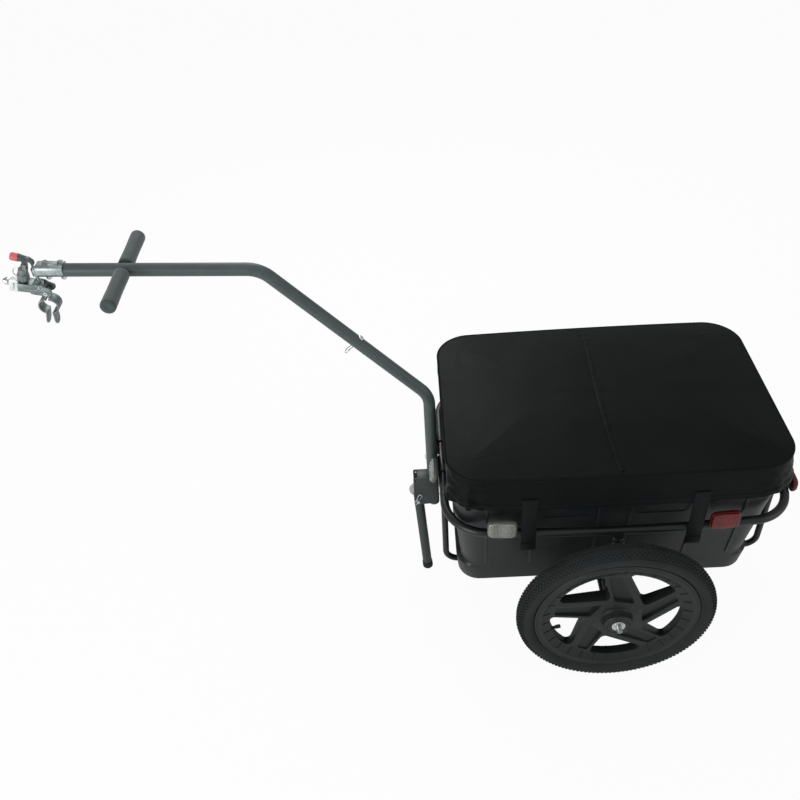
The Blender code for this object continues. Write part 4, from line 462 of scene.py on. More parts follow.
rim_nylon = moulded_plastic("glass_filled_nylon", "131616", "1e2222", 0.0012, 0.42)
half_rim = [(BUSH_RADIUS, HUB_HALF - 0.0006), (BUSH_RADIUS + 0.0006, HUB_HALF), (0.0215, HUB_HALF),
            (0.0220, HUB_HALF - 0.0010), (0.0232, HUB_HALF - 0.0010), (0.0237, HUB_HALF),
            (HUB_RADIUS - 0.0015, HUB_HALF),
            (HUB_RADIUS, HUB_HALF - 0.0015), (HUB_RADIUS + 0.0005, 0.0185), (HUB_RADIUS + 0.0025, 0.0150),
            (0.1325, 0.0090), BAND[0], BAND[1], (0.1508, RIM_HALF - 0.0002), (0.1514, RIM_HALF),
            (0.1600, RIM_HALF),
            (0.1603, RIM_HALF - 0.0005), (0.1608, RIM_HALF - 0.0005), (0.1611, RIM_HALF),
            (RIM_RADIUS - 0.0008, RIM_HALF),
            (RIM_RADIUS, RIM_HALF - 0.0008), (RIM_RADIUS, 0.0138), (0.1600, 0.0126), (0.1520, 0.0065)]
rim = lathe(half_rim + [(radius, -height) for radius, height in reversed(half_rim)], WHEEL_STEPS, ring=True)
spoke_pitch = math.tau / SPOKE_COUNT
for spoke in range(SPOKE_COUNT):
    start = OPENING_START + spoke * spoke_pitch
    end = start + OPENING_SWEEP
    shares = (0, 0.15, 0.24, 0.33, 0.42, 0.5, 0.58, 0.67, 0.76, 0.85, 1)
    corners = [on_wheel(OPENING_RADIUS, start + OPENING_SWEEP * share) for share in shares]
    corners.append(on_wheel(OPENING_INNER_RADIUS, end))
    radii = [OPENING_CORNER] + [0] * (len(shares) - 2) + [OPENING_CORNER, OPENING_CORNER]
    machine(rim, blank(round_corners(corners, radii, 6, closed=True), -0.05, 0.05))
    edge_turn = POCKET_EDGE / OPENING_RADIUS
    corners = [on_wheel(OPENING_RADIUS - POCKET_EDGE, end + edge_turn),
               on_wheel(OPENING_RADIUS - POCKET_EDGE, start + spoke_pitch - 2 * edge_turn),
               on_wheel(OPENING_INNER_RADIUS - POCKET_EDGE, end + OPENING_SWEEP),
               on_wheel(OPENING_INNER_RADIUS - POCKET_EDGE, end + 2 * edge_turn)]
    pocket = round_corners(corners, POCKET_EDGE * 0.45, 4, closed=True)
    machine(rim, blank(pocket, POCKET_FLOOR, 0.05))
    machine(rim, blank(pocket, -0.05, -POCKET_FLOOR))
soften_edges(rim, 0.0010, 2, 42)
ribs = []
(low_radius, low_height), (high_radius, high_height) = BAND
slope = math.atan2(high_height - low_height, high_radius - low_radius)
for rib in range(BAND_RIBS):
    for face in (1, -1):
        bpy.ops.mesh.primitive_cube_add(size=1)
        bar = bpy.context.object
        bar.matrix_world = (Matrix.Rotation((rib + 0.35) * math.tau / BAND_RIBS, 4, "Z")
                            @ Matrix.Translation(((low_radius + high_radius) / 2, 0,
                                                  face * (low_height + high_height) / 2))
                            @ Matrix.Rotation(-face * slope, 4, "Y")
                            @ Matrix.Diagonal((high_radius - low_radius + 0.002, RIB_THICKNESS, 0.0022, 1)))
        ribs.append(bar)
rim = join_pieces([rim, *ribs])
ease(rim, 36)
for side, sign in SIDES:
    fit(set_down(copy_piece(rim), WHEEL_SEAT[side]), f"spoked_rim_{side}", rim_nylon, f"wheel_{side}",
        "black_nylon", f"rim_{side}")
discard(rim)


# Valves: the inner tube's rubber stem comes through the rim's inner side and takes a ribbed nylon cap.
# The tube itself is inside the tyre, so its own solid stays, in plain butyl rubber.
VALVE_ANGLE = math.radians(-19.6)
STEM_TIP = 0.119
CAP_RADIUS = 0.0041
CAP_GROOVES = 12


def at_place(middle, way):
    """Placement whose Z looks along a way."""
    return Matrix.Translation(middle) @ way.to_track_quat("Z", "Y").to_matrix().to_4x4()


def dress_solid(node, finish):
    """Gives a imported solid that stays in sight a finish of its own."""
    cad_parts[node].data.materials.clear()
    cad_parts[node].data.materials.append(finish)


cap_profile = [(0.0034, -0.0072), (CAP_RADIUS, -0.0066), (CAP_RADIUS, 0.0022), (0.0036, 0.0032),
               (0.0018, 0.0036)]
cap = lathe(cap_profile, 24)
for vertex in cap.data.vertices:
    groove = 1 - 0.07 * (0.5 + 0.5 * math.cos(CAP_GROOVES * math.atan2(vertex.co.y, vertex.co.x)))
    vertex.co.x *= groove
    vertex.co.y *= groove
ease(cap, 40)
for side, sign in SIDES:
    out = on_wheel(1, VALVE_ANGLE).to_3d()
    seat = WHEEL_SEAT[side] @ at_place(out * (STEM_TIP - 0.0004), -out)
    fit(set_down(copy_piece(cap), seat), f"valve_cap_{side}", rim_nylon, f"wheel_{side}", "black_nylon")
    dress_solid(f"inner_tube_{side}", tyre_rubber)
discard(cap)


# Axles: a 12 mm steel bolt through the strut's boss and the wheel's nylon bushes, with a washer and a nut
# outside. The thread shows beyond the nut, and the bushes keep their own solids.
AXLE_RADIUS = 0.006
AXLE_INNER = -0.0812
AXLE_OUTER = 0.0476
THREAD_PITCH = 0.00125
THREAD_DEPTH = 0.0004
WASHER = (0.0348, 0.0363)
NUT_SIZE = (0.010, 0.008)


def plated_metal(name, dark, light, roughness, metallic=1.0):
    """Electroplated metal: cool and bright, faint drawing lines, cloudier in patches where it was handled."""
    finish, surface = start_finish(name, {"Metallic": metallic})
    patchy(surface, {"Scale": 70, "Detail": 5, "Roughness": 0.6}, ((0.32, dark), (0.62, light)),
           (roughness - 0.06, roughness + 0.12))
    tree, shader, place = surface
    turn = add_node(tree, "ShaderNodeMapping", values={"Scale": (0.12, 1, 1)}, links={"Vector": place})
    grained((tree, shader, turn.outputs[0]), 0.0009, 3, 0.05, 0.0001)
    return finish


def hexagon(radius, height, bore=0.0):
    """A hexagon slice with its corners turned off at both ends, and a bore if it is a nut."""
    bpy.ops.mesh.primitive_cylinder_add(vertices=6, radius=radius, depth=height, location=(0, 0, 0))
    piece = bpy.context.object
    half, bevel = height / 2, radius * 0.15
    turned = [(radius * 0.86, -half - 0.0002), (radius * 1.01, bevel * 0.577 - half),
              (radius * 1.01, half - bevel * 0.577), (radius * 0.86, half + 0.0002)]
    machine(piece, lathe(turned, 48), "INTERSECT")
    if bore:
        drill(piece, bore, 3 * height)
    ease(piece, 25)
    return piece


def thread(radius, low, high):
    """Profile of a rolled thread between two heights."""
    count = int((high - low) / THREAD_PITCH)
    points = []
    for ridge in range(count):
        start = low + ridge * THREAD_PITCH
        points += [(radius - THREAD_DEPTH, start), (radius, start + THREAD_PITCH * 0.4),
                   (radius, start + THREAD_PITCH * 0.6)]
    return points + [(radius - THREAD_DEPTH, high)]


bright_zinc = plated_metal("bright_zinc_plate", "b4bcbc", "e6eaea", 0.26)
chrome_plate = plated_metal("chrome_plate", "c4caca", "eef0f0", 0.12)
plain_steel = plated_metal("blued_plain_steel", "8a9292", "b2b8b8", 0.34)
white_nylon = moulded_plastic("white_nylon", "d6d6d0", "e6e6e2", 0.001, 0.45)
shank = lathe([(AXLE_RADIUS, AXLE_INNER - 0.001), (AXLE_RADIUS, 0.034)]
              + thread(AXLE_RADIUS, 0.0345, AXLE_OUTER - 0.0008)
              + [(AXLE_RADIUS - 0.0012, AXLE_OUTER)], 40, smooth=30)
head = hexagon(0.010, 0.006)
head.location.z = AXLE_INNER - 0.0003 - 0.003
set_down(head, Matrix.Identity(4))
axle = join_pieces([shank, head])
low, high = WASHER
washer = lathe([(AXLE_RADIUS + 0.0003, low), (0.0116, low), (0.0120, low + 0.0004), (0.0120, high - 0.0004),
                (0.0116, high), (AXLE_RADIUS + 0.0003, high)], 48, ring=True, smooth=32)
nut = hexagon(NUT_SIZE[0], NUT_SIZE[1], AXLE_RADIUS + 0.0002)
nut.location.z = high + NUT_SIZE[1] / 2
set_down(nut, Matrix.Identity(4))
nut = join_pieces([nut, washer])
for side, sign in SIDES:
    seat = WHEEL_SEAT[side]
    fit(set_down(copy_piece(axle), seat), f"axle_bolt_{side}", plain_steel, "chassis", "steel",
        f"axle_{side}")
    fit(set_down(copy_piece(nut), seat), f"axle_washer_and_nut_{side}", chrome_plate, "chassis", "chrome",
        f"axle_nut_{side}")
    dress_solid(f"hub_bush_{side}", white_nylon)
discard(axle, nut)


# Rail: one loop of 18 mm steel tube round the box, bent at four corners, its sides slightly bowed.
# It is black powder coated after welding, like the rods and struts below it.
RAIL_RADIUS = 0.009
RAIL_Z = 0.370
RAIL_FRONT = 0.333
RAIL_REAR = -0.354
RAIL_HALF_WIDTH = 0.220
RAIL_BOW = 0.009
RAIL_CORNER = 0.088
BASE_PIN_Z = 0.374
PIN_BORE = 0.0033


def powder_coat(name, dark, light, roughness=0.36):
    """Baked polyester powder over steel: an even satin with a fine orange-peel skin and a few dull rubs."""
    finish, surface = start_finish(name, {"Specular IOR Level": 0.5})
    patchy(surface, {"Scale": 22, "Detail": 7, "Roughness": 0.7}, ((0.35, dark), (0.75, light)),
           (roughness, roughness + 0.16), (0.35, 0.75))
    grained(surface, 0.0018, 2, 0.16, 0.0002)
    return finish


def draw_line(points, closed):
    """A curve through points."""
    curve = bpy.data.curves.new("run", "CURVE")
    curve.dimensions = "3D"
    run = curve.splines.new("POLY")
    run.points.add(len(points) - 1)
    for node, point in zip(run.points, points):
        node.co = (*point, 1)
    run.use_cyclic_u = closed
    line = bpy.data.objects.new("run", curve)
    bpy.context.scene.collection.objects.link(line)
    return line


def draw_tube(points, radius, resolution, closed=False):
    """Round tube or wire along points, made a mesh with its ends capped."""
    piece = draw_line(points, closed)
    piece.data.bevel_depth = radius
    piece.data.bevel_resolution = resolution
    piece.data.use_fill_caps = not closed
    take_up(piece)
    bpy.ops.object.convert(target="MESH")
    piece = bpy.context.object
    close_up(piece)
    ease(piece, 50)
    return piece


def rail_y(x):
    """Half width of the rail at a place along it, counted from the axle."""
    half = (RAIL_FRONT - RAIL_REAR) / 2 - RAIL_CORNER
    return RAIL_HALF_WIDTH + RAIL_BOW * (1 - ((x - (RAIL_FRONT + RAIL_REAR) / 2) / half) ** 2)


def quarter(centre_x, start, end, steps=20):
    """One corner of the rail's loop, as points on its arc."""
    centre_y = RAIL_HALF_WIDTH - RAIL_CORNER
    turns = [math.radians(start + (end - start) * step / steps) for step in range(steps + 1)]
    return [(centre_x + RAIL_CORNER * math.cos(turn), centre_y + RAIL_CORNER * math.sin(turn))
            for turn in turns]


black_coat = powder_coat("black_powder_coat", "141717", "232727", 0.30)
front = quarter(RAIL_FRONT - RAIL_CORNER, 0, 90)
rear = quarter(RAIL_REAR + RAIL_CORNER, 90, 180)
between = [front[-1][0] + (rear[0][0] - front[-1][0]) * step / 40 for step in range(1, 40)]
left = front + [(x, rail_y(x)) for x in between] + rear
loop = left + [(x, -y) for x, y in reversed(left)]
rail = draw_tube([(AXLE_X + x, y, RAIL_Z) for x, y in loop], RAIL_RADIUS, 6, closed=True)
drill(rail, PIN_BORE, 0.04, (AXLE_X + RAIL_FRONT, 0, BASE_PIN_Z), (0, math.pi / 2, 0), 24)
ease(rail, 50)
fit(rail, "bent_rail", black_coat, "chassis", "black_paint", "frame_rail")


# Rods and struts: rods of 13.6 mm over the paint loop down from the rail's ends and carry the box, and a
# third crosses under them. A 22 mm strut comes down on each side from the rail to the axle's boss, and every
# joint has its weld bead.
ROD_RADIUS = 0.0068
ROD_Y = 0.100
ROD_BEND = 0.028
ROD_TOP = RAIL_Z - RAIL_RADIUS
ROD_RUN_Z = 0.1482
CROSS_ROD_Z = 0.1359
CROSS_ROD_BEND = 0.030
STRUT_RADIUS = 0.011
STRUT_Y = 0.242
BOSS_RADIUS = 0.013
BOSS_HALF = 0.0232


def weld_bead(radius, placement, thick=0.0019):
    """A torus with the uneven ripples of a hand-run weld."""
    bpy.ops.mesh.primitive_torus_add(major_radius=radius, minor_radius=thick, major_segments=44,
                                     minor_segments=8,
                                     location=(0, 0, 0))
    bead = bpy.context.object
    for vertex in bead.data.vertices:
        turn = math.atan2(vertex.co.y, vertex.co.x)
        ripple = 1 + 0.02 * math.sin(15 * turn) + 0.02 * noise.noise(vertex.co * 300)
        vertex.co.x *= ripple
        vertex.co.y *= ripple
    ease(bead, 70)
    return set_down(bead, placement)


beads = []
for side, sign in SIDES:
    y = sign * ROD_Y
    corners = [(RAIL_FRONT, y, ROD_TOP + 0.001), (RAIL_FRONT, y, ROD_RUN_Z), (RAIL_REAR, y, ROD_RUN_Z),
               (RAIL_REAR, y, ROD_TOP + 0.001)]
    route = [(AXLE_X + point.x, point.y, point.z) for point in round_corners(corners, ROD_BEND, 12)]
    fit(draw_tube(route, ROD_RADIUS, 5), f"bent_cradle_rod_{side}", black_coat, "chassis", "black_paint",
        f"cradle_rod_{side}")
    for x in (RAIL_FRONT, RAIL_REAR):
        beads.append(weld_bead(ROD_RADIUS + 0.0008, Matrix.Translation((AXLE_X + x, y, ROD_TOP - 0.0004))))
    bpy.ops.mesh.primitive_cylinder_add(vertices=40, radius=STRUT_RADIUS, depth=RAIL_Z - WHEEL_RADIUS,
                                        location=(AXLE_X, sign * STRUT_Y, (RAIL_Z + WHEEL_RADIUS) / 2))
    strut = bpy.context.object
    set_down(strut, Matrix.Identity(4))
    boss_profile = [(BOSS_RADIUS - 0.0012, -BOSS_HALF), (BOSS_RADIUS, 0.0012 - BOSS_HALF),
                    (BOSS_RADIUS, BOSS_HALF - 0.0012), (BOSS_RADIUS - 0.0012, BOSS_HALF)]
    across_hub = Matrix.Translation((AXLE_X, sign * STRUT_Y, WHEEL_RADIUS))
    across_hub @= Matrix.Rotation(math.pi / 2, 4, "X")
    machine(strut, set_down(lathe(boss_profile, 44), across_hub), "UNION")
    machine(strut, set_down(lathe([(AXLE_RADIUS + 0.0003, -0.05), (AXLE_RADIUS + 0.0003, 0.05)], 40),
                            across_hub))
    drill(strut, RAIL_RADIUS + 0.0001, 0.1, (AXLE_X, sign * rail_y(0), RAIL_Z), (0, math.pi / 2, 0))
    ease(strut, 30)
    fit(strut, f"welded_strut_{side}", black_coat, "chassis", "black_paint", f"axle_strut_{side}")
    for z in (RAIL_Z - 0.0115, WHEEL_RADIUS + 0.0085):
        beads.append(weld_bead(STRUT_RADIUS + 0.0006, Matrix.Translation((AXLE_X, sign * STRUT_Y, z))))
cross_top = WHEEL_RADIUS - BOSS_RADIUS + 0.001
cross_bead = cross_top - 0.0014
corners = [(0, STRUT_Y, cross_top), (0, STRUT_Y, CROSS_ROD_Z), (0, -STRUT_Y, CROSS_ROD_Z),
           (0, -STRUT_Y, cross_top)]
route = [(AXLE_X, point.y, point.z) for point in round_corners(corners, CROSS_ROD_BEND, 12)]
fit(draw_tube(route, ROD_RADIUS, 5), "bent_cross_rod", black_coat, "chassis", "black_paint",
    "cradle_cross_rod")
for side, sign in SIDES:
    beads.append(weld_bead(ROD_RADIUS + 0.0008, Matrix.Translation((AXLE_X, sign * STRUT_Y, cross_bead))))
fit(join_pieces(beads), "weld_beads", black_coat, "chassis", "black_paint")


# Load box: a black polypropylene tub, 66 x 45 x 34 cm, moulded in one with drafted walls, a wider foot at its
# ends, upright ribs, a rolled lip and two shallow hand pockets in each long side. It stands on the rods.
TUB_FLOOR_Z = 0.1545
TUB_TOP_Z = 0.497
TUB_HALF = (0.2975, 0.1685)
TUB_DRAFT = (math.radians(4.6), math.radians(7.9))
TUB_CORNER = 0.045
TUB_WALL = 0.003
TUB_COLUMNS = 232
FOOT_TOP = TUB_FLOOR_Z + 0.058
FOOT_OUT = 0.010
FOOT_EDGE = 0.007
RIB_X = (0.253, 0.160, 0.030)
RIB_Y = 0.100
RIB_SIZE = (0.006, 0.0040)
RIB_PROUD = 0.0025
GRIP_X = 0.093
GRIP_SIZE = (0.100, 0.036)
GRIP_Z = 0.402
GRIP_DEPTH = 0.0015


def round_box(share, half_x, half_y, corner):
    """Point and outward way on a rounded rectangle, a share of the way round it from its front middle."""
    flat_x, flat_y, bend = half_x - corner, half_y - corner, math.pi * corner / 2
    runs = [flat_y, bend, 2 * flat_x, bend, 2 * flat_y, bend, 2 * flat_x, bend, flat_y]
    at = (share % 1) * sum(runs)
    index = 0
    while index < 8 and at > runs[index]:
        at -= runs[index]
        index += 1
    if index % 2:
        turn = (index // 2) * math.pi / 2 + at / corner
        way = Vector((math.cos(turn), math.sin(turn)))
        hub = ((flat_x, flat_y), (-flat_x, flat_y), (-flat_x, -flat_y), (flat_x, -flat_y))[index // 2]
        return Vector(hub) + way * corner, way
    starts = {0: ((half_x, 0), (0, 1), (1, 0)), 2: ((flat_x, half_y), (-1, 0), (0, 1)),
              4: ((-half_x, flat_y), (0, -1), (-1, 0)), 6: ((-flat_x, -half_y), (1, 0), (0, -1)),
              8: ((half_x, -flat_y), (0, 1), (1, 0))}
    start, along, way = starts[index]
    return Vector(start) + Vector(along) * at, Vector(way)


def lay_grid(columns, rows, place, closed=False):
    """A grid primitive whose points are laid out by place(column, row)."""
    bpy.ops.mesh.primitive_grid_add(x_subdivisions=columns, y_subdivisions=rows, size=2, location=(0, 0, 0))
    piece = bpy.context.object
    for vertex in piece.data.vertices:
        column = round((vertex.co.x + 1) / 2 * columns)
        row = round((vertex.co.y + 1) / 2 * rows)
        vertex.co = place(column % columns if closed else column, row)
    if closed:
        edit(piece, (bpy.ops.mesh.remove_doubles, {"threshold": 0.00001}))
    return piece


def tub_half(z):
    """Half length and half width of the tub's walls at a height."""
    rise = z - TUB_FLOOR_Z
    return TUB_HALF[0] + rise * math.tan(TUB_DRAFT[0]), TUB_HALF[1] + rise * math.tan(TUB_DRAFT[1])


polypropylene = moulded_plastic("polypropylene_tub", "131718", "1d2223", 0.0014, 0.33)
levels = []
for step in range(6):
    turn = math.pi / 2 * step / 5
    levels.append((TUB_FLOOR_Z + FOOT_EDGE * (1 - math.cos(turn)),
                   FOOT_OUT - FOOT_EDGE * (1 - math.sin(turn)),
                   -FOOT_EDGE * (1 - math.sin(turn))))
levels += [(FOOT_TOP - 0.0075, FOOT_OUT, 0), (FOOT_TOP - 0.0055, FOOT_OUT - 0.0006, 0),
           (FOOT_TOP - 0.0008, 0.0008, 0), (FOOT_TOP + 0.0012, 0, 0)]
wall_low, wall_high = FOOT_TOP + 0.0012, TUB_TOP_Z - 0.012
levels += [(wall_low + (wall_high - wall_low) * step / 12, 0, 0) for step in range(1, 13)]
levels += [(TUB_TOP_Z - 0.0092, 0.0002, 0.0006), (TUB_TOP_Z - 0.0078, 0.0010, 0.0040),
           (TUB_TOP_Z - 0.0062, 0.0014, 0.0056),
           (TUB_TOP_Z - 0.0014, 0.0015, 0.0060), (TUB_TOP_Z, 0.0011, 0.0052)]


def tub_point(column, row):
    """A point on the tub's outer face, by column and level."""
    z, out_x, out_y = levels[row]
    half_x, half_y = tub_half(z)
    point, way = round_box(column / TUB_COLUMNS, half_x + out_x, half_y + out_y, TUB_CORNER)
    return Vector((AXLE_X + point.x, point.y, z))


tub = lay_grid(TUB_COLUMNS, len(levels) - 1, tub_point, closed=True)
for vertex in tub.data.vertices:
    vertex.select = vertex.co.z < TUB_FLOOR_Z + 0.00001
for edge in tub.data.edges:
    edge.select = all(tub.data.vertices[index].select for index in edge.vertices)
for face in tub.data.polygons:
    face.select = False
bpy.ops.object.mode_set(mode="EDIT")
bpy.ops.mesh.edge_face_add()
bpy.ops.object.mode_set(mode="OBJECT")
apply_modifier(tub, "SOLIDIFY", thickness=TUB_WALL, offset=-1, use_even_offset=True)
rib_low, rib_high = FOOT_TOP + 0.012, TUB_TOP_Z - 0.022
rib_z = (rib_low + rib_high) / 2
half_x, half_y = tub_half(rib_z)
rib_length = (rib_high - rib_low) / math.cos(TUB_DRAFT[1])
for sign in (1, -1):
    seats = [Matrix.Translation((AXLE_X + place * end, sign * (half_y + RIB_PROUD - RIB_SIZE[1] / 2), rib_z))
             @ Matrix.Rotation(-sign * TUB_DRAFT[1], 4, "X") for place in RIB_X for end in (1, -1)]
    seats += [Matrix.Translation((AXLE_X + sign * (half_x + RIB_PROUD - RIB_SIZE[1] / 2), RIB_Y * end, rib_z))
              @ Matrix.Rotation(sign * TUB_DRAFT[0], 4, "Y") @ Matrix.Rotation(math.pi / 2, 4, "Z")
              for end in (1, -1)]
    for seat in seats:
        bpy.ops.mesh.primitive_cube_add(size=1, location=(0, 0, 0))
        rib = bpy.context.object
        rib.matrix_world = seat @ Matrix.Diagonal((RIB_SIZE[0], RIB_SIZE[1], rib_length, 1))
        set_down(rib, Matrix.Identity(4))
        apply_modifier(rib, "BEVEL", width=0.0011, segments=3)
        machine(tub, rib, "UNION")
    for end in (1, -1):
        corners = [(end * GRIP_X + x * GRIP_SIZE[0] / 2, y * GRIP_SIZE[1] / 2)
                   for x, y in ((-1, -1), (1, -1), (1, 1), (-1, 1))]
        pocket = blank(round_corners(corners, 0.010, 8, closed=True), -GRIP_DEPTH, GRIP_DEPTH)
        seat = (Matrix.Translation((AXLE_X, sign * tub_half(GRIP_Z)[1], GRIP_Z))
                @ Matrix.Rotation(math.pi / 2 - sign * TUB_DRAFT[1], 4, "X"))
        machine(tub, set_down(pocket, seat))
ease(tub, 30)
fit(tub, "moulded_tub", polypropylene, "tub", "tub_polypropylene", "tub")


# Cover: black coated polyester over the box, cut as a top and a skirt that a piped seam joins, with a seam
# across the top. The top rises a little and bows out along its sides. The skirt falls in soft waves, and in
# crumpled gathers at its corners.
COVER_SEAM_Z = 0.525
COVER_HALF = (0.3295, 0.2250)
COVER_BOW = 0.0060
COVER_CORNER = (0.070, 0.056)
COVER_DOME = 0.014
COVER_SKIRT = 0.077
COVER_LIFT = 0.024
COVER_FLARE = 0.0042
COVER_CLOTH = 0.0011
COVER_COLUMNS = (78, 20, 112, 20, 78, 20, 112, 20)
SKIRT_ROWS = 26
TOP_ROWS = 58
HEM = 0.013
CREST = COVER_HALF[1] - 0.003
PIPING = 0.0017
CROSS_SEAM_X = 0.0085
BANDS_PER_WAVE = 0.31416


def cloth(name, dark, light, pitch, sheen=0.03):
    """Plain-woven coated cloth: yarns at their real pitch in bump, dusty wear, a soft sheen at low angles."""
    finish, surface = start_finish(name, {"Specular IOR Level": 0.09, "Sheen Weight": sheen,
                                          "Sheen Roughness": 0.4})
    patchy(surface, {"Scale": 6.5, "Detail": 8, "Roughness": 0.62}, ((0.34, dark), (0.72, light)),
           (0.38, 0.50))
    tree, shader, place = surface
    bands = []
    for axis in "XYZ":
        band = add_node(tree, "ShaderNodeTexWave", settings={"wave_type": "BANDS", "bands_direction": axis},
                        values={"Scale": BANDS_PER_WAVE / pitch, "Distortion": 0.0}, links={"Vector": place})
        bands.append(band.outputs["Fac"])
    pair = add_node(tree, "ShaderNodeMath", settings={"operation": "ADD"}, links={0: bands[0], 1: bands[1]})
    weave = add_node(tree, "ShaderNodeMath", settings={"operation": "ADD"},
                     links={0: pair.outputs[0], 1: bands[2]})
    raised(surface, weave.outputs[0], 0.30, pitch * 0.18)
    return finish


def bowed(x, y, half_x):
    """Lets the long sides bow out, less and less towards the middle."""
    return Vector((x, y + COVER_BOW * (1 - (x / half_x) ** 2) * y / COVER_HALF[1]))


def cover_spot(column, inset, corner):
    """Point and outward way at one column of the cover's loop, so far inside its seam."""
    half_x, half_y = COVER_HALF[0] - inset, COVER_HALF[1] - inset
    flat_x, flat_y = half_x - corner, half_y - corner
    segment = 0
    while column >= COVER_COLUMNS[segment]:
        column -= COVER_COLUMNS[segment]
        segment += 1
    share, quarter_turn = column / COVER_COLUMNS[segment], segment // 2
    if segment % 2:
        turn = (quarter_turn + share) * math.pi / 2
        hub = ((flat_x, flat_y), (-flat_x, flat_y), (-flat_x, -flat_y), (flat_x, -flat_y))[quarter_turn]
        way = Vector((math.cos(turn), math.sin(turn)))
        point = Vector(hub) + way * corner
    else:
        reach = 2 * share - 1
        point = Vector(((half_x, reach * flat_y), (-reach * flat_x, half_y), (-half_x, -reach * flat_y),
                        (reach * flat_x, -half_y))[quarter_turn])
        way = Vector(((1, 0), (0, 1), (-1, 0), (0, -1))[quarter_turn])
    return bowed(point.x, point.y, half_x), way


def cover_inset(x, y):
    """How far inside the seam a point of the top lies."""
    y -= COVER_BOW * (1 - (x / COVER_HALF[0]) ** 2) * y / COVER_HALF[1]
    over_x, over_y = abs(x) - COVER_HALF[0] + COVER_CORNER[0], abs(y) - COVER_HALF[1] + COVER_CORNER[0]
    beyond = math.hypot(max(over_x, 0), max(over_y, 0)) + min(max(over_x, over_y), 0)
    return COVER_CORNER[0] - beyond


def cover_top(x, y):
    """Height of the top: a low crown, slack in places, puckered beside the seams, pulled from the corners."""
    inside = max(cover_inset(x, y), 0)
    rise = COVER_DOME * (1 - max(1 - inside / 0.19, 0) ** 2.2)
    swell = min(inside / 0.05, 1)
    rise += swell * (0.0030 * noise.noise((x * 5.0, y * 6.0, 3.1))
                     + 0.0010 * noise.noise((x * 15, y * 17, 7.7)))
    rise += 0.0009 * math.exp(-inside / 0.014) * noise.noise((x * 85, y * 85, 1.3)) * min(inside / 0.002, 1)
    beside = abs(x - cross_seam_x(y))
    pucker = swell * 0.0008 * math.exp(-beside / 0.012) * noise.noise((x * 40, y * 75, 4.9))
    rise += pucker - swell * 0.0008 * math.exp(-beside / 0.02)
    for end_x in (1, -1):
        for end_y in (1, -1):
            arm = Vector((x - end_x * 0.285, y - end_y * 0.18))
            fan = noise.noise((math.atan2(arm.y, arm.x) * 3.2, end_x * 3, end_y * 5))
            rise += swell * 0.0012 * fan * math.exp(-arm.length / 0.075)
    return COVER_SEAM_Z + rise


def cross_seam_x(y):
    """The cross seam wanders a little on its way across the top."""
    bow = 0.006 * (y / COVER_HALF[1]) ** 2 * (1 if y > 0 else 0.4)
    return CROSS_SEAM_X + 0.004 * math.sin(y * 9 + 0.6) - bow


def crowding(point):
    """0 along the straight sides of the skirt, rising to 1 at its corners."""
    near = min(COVER_HALF[0] - abs(point.x), 0.09) + min(COVER_HALF[1] - abs(point.y), 0.09)
    return max(0.0, 1 - near / 0.09)


def skirt_out(point, height, share):
    """How far the skirt stands out at a share of its fall: slow waves, crumpled gathers at the corners.

    The front of the skirt hangs in towards the bar, and the near front corner is crumpled most.
    """
    crowd = min(1.7 * crowding(point), 1)
    along = point.x if abs(point.y) > abs(point.x) * 0.6 else point.y
    seed = (3 if point.x > 0 else 0) + (1 if point.y > 0 else 0)
    wave = 0.0016 * (1 + noise.noise((along * 22, height * 6, seed)))
    gather = 0.0030 + 0.0034 * noise.noise((along * 85, height * 22, seed + 9))
    crumple = 0.0150 * abs(noise.noise(((along - height) * 58, (along + height) * 30, seed + 20)))
    if point.x < 0 or point.y < 0:
        crumple *= 0.4
    front = min(max((point.x - 0.30) / 0.028, 0), 1) * min(max((0.20 - abs(point.y)) / 0.05, 0), 1)
    hung = share ** 0.8 * (COVER_FLARE * 0.6 + (1 - crowd) * wave + crowd * (gather + crumple))
    drawn_in = 0.0044 * min(max((share - 0.36) / 0.3, 0), 1)
    return hung * (1 - front) - front * (drawn_in - 0.0014 * share * noise.noise((along * 30, 1, 5)))


def cover_point(column, row):
    """A point on the cover, by column and row: first the skirt, from its hem up, then the top."""
    if row <= SKIRT_ROWS:
        share = 1 - row / SKIRT_ROWS
        corner = COVER_CORNER[1] + (COVER_CORNER[0] - COVER_CORNER[1]) * (1 - share)
        point, way = cover_spot(column, 0.0, corner)
        hem_z = COVER_SEAM_Z - COVER_SKIRT + COVER_LIFT * crowding(point) ** 1.4
        hem_z += 0.0020 * noise.noise((point.x * 14, point.y * 14, 2.2))
        height = hem_z + (COVER_SEAM_Z - 0.0012 - hem_z) * (1 - share)
        out = skirt_out(point, height, share) + (0.0006 if height - hem_z < HEM else 0.0)
        point = point + way * out
        return Vector((AXLE_X + point.x, point.y, height))
    share = (row - SKIRT_ROWS) / TOP_ROWS
    inset = 0.0014 + (CREST - 0.0014) * share ** 1.35
    point = cover_spot(column, inset, max(COVER_CORNER[0] - inset, 0.0025))[0]
    return Vector((AXLE_X + point.x, point.y, cover_top(point.x, point.y)))


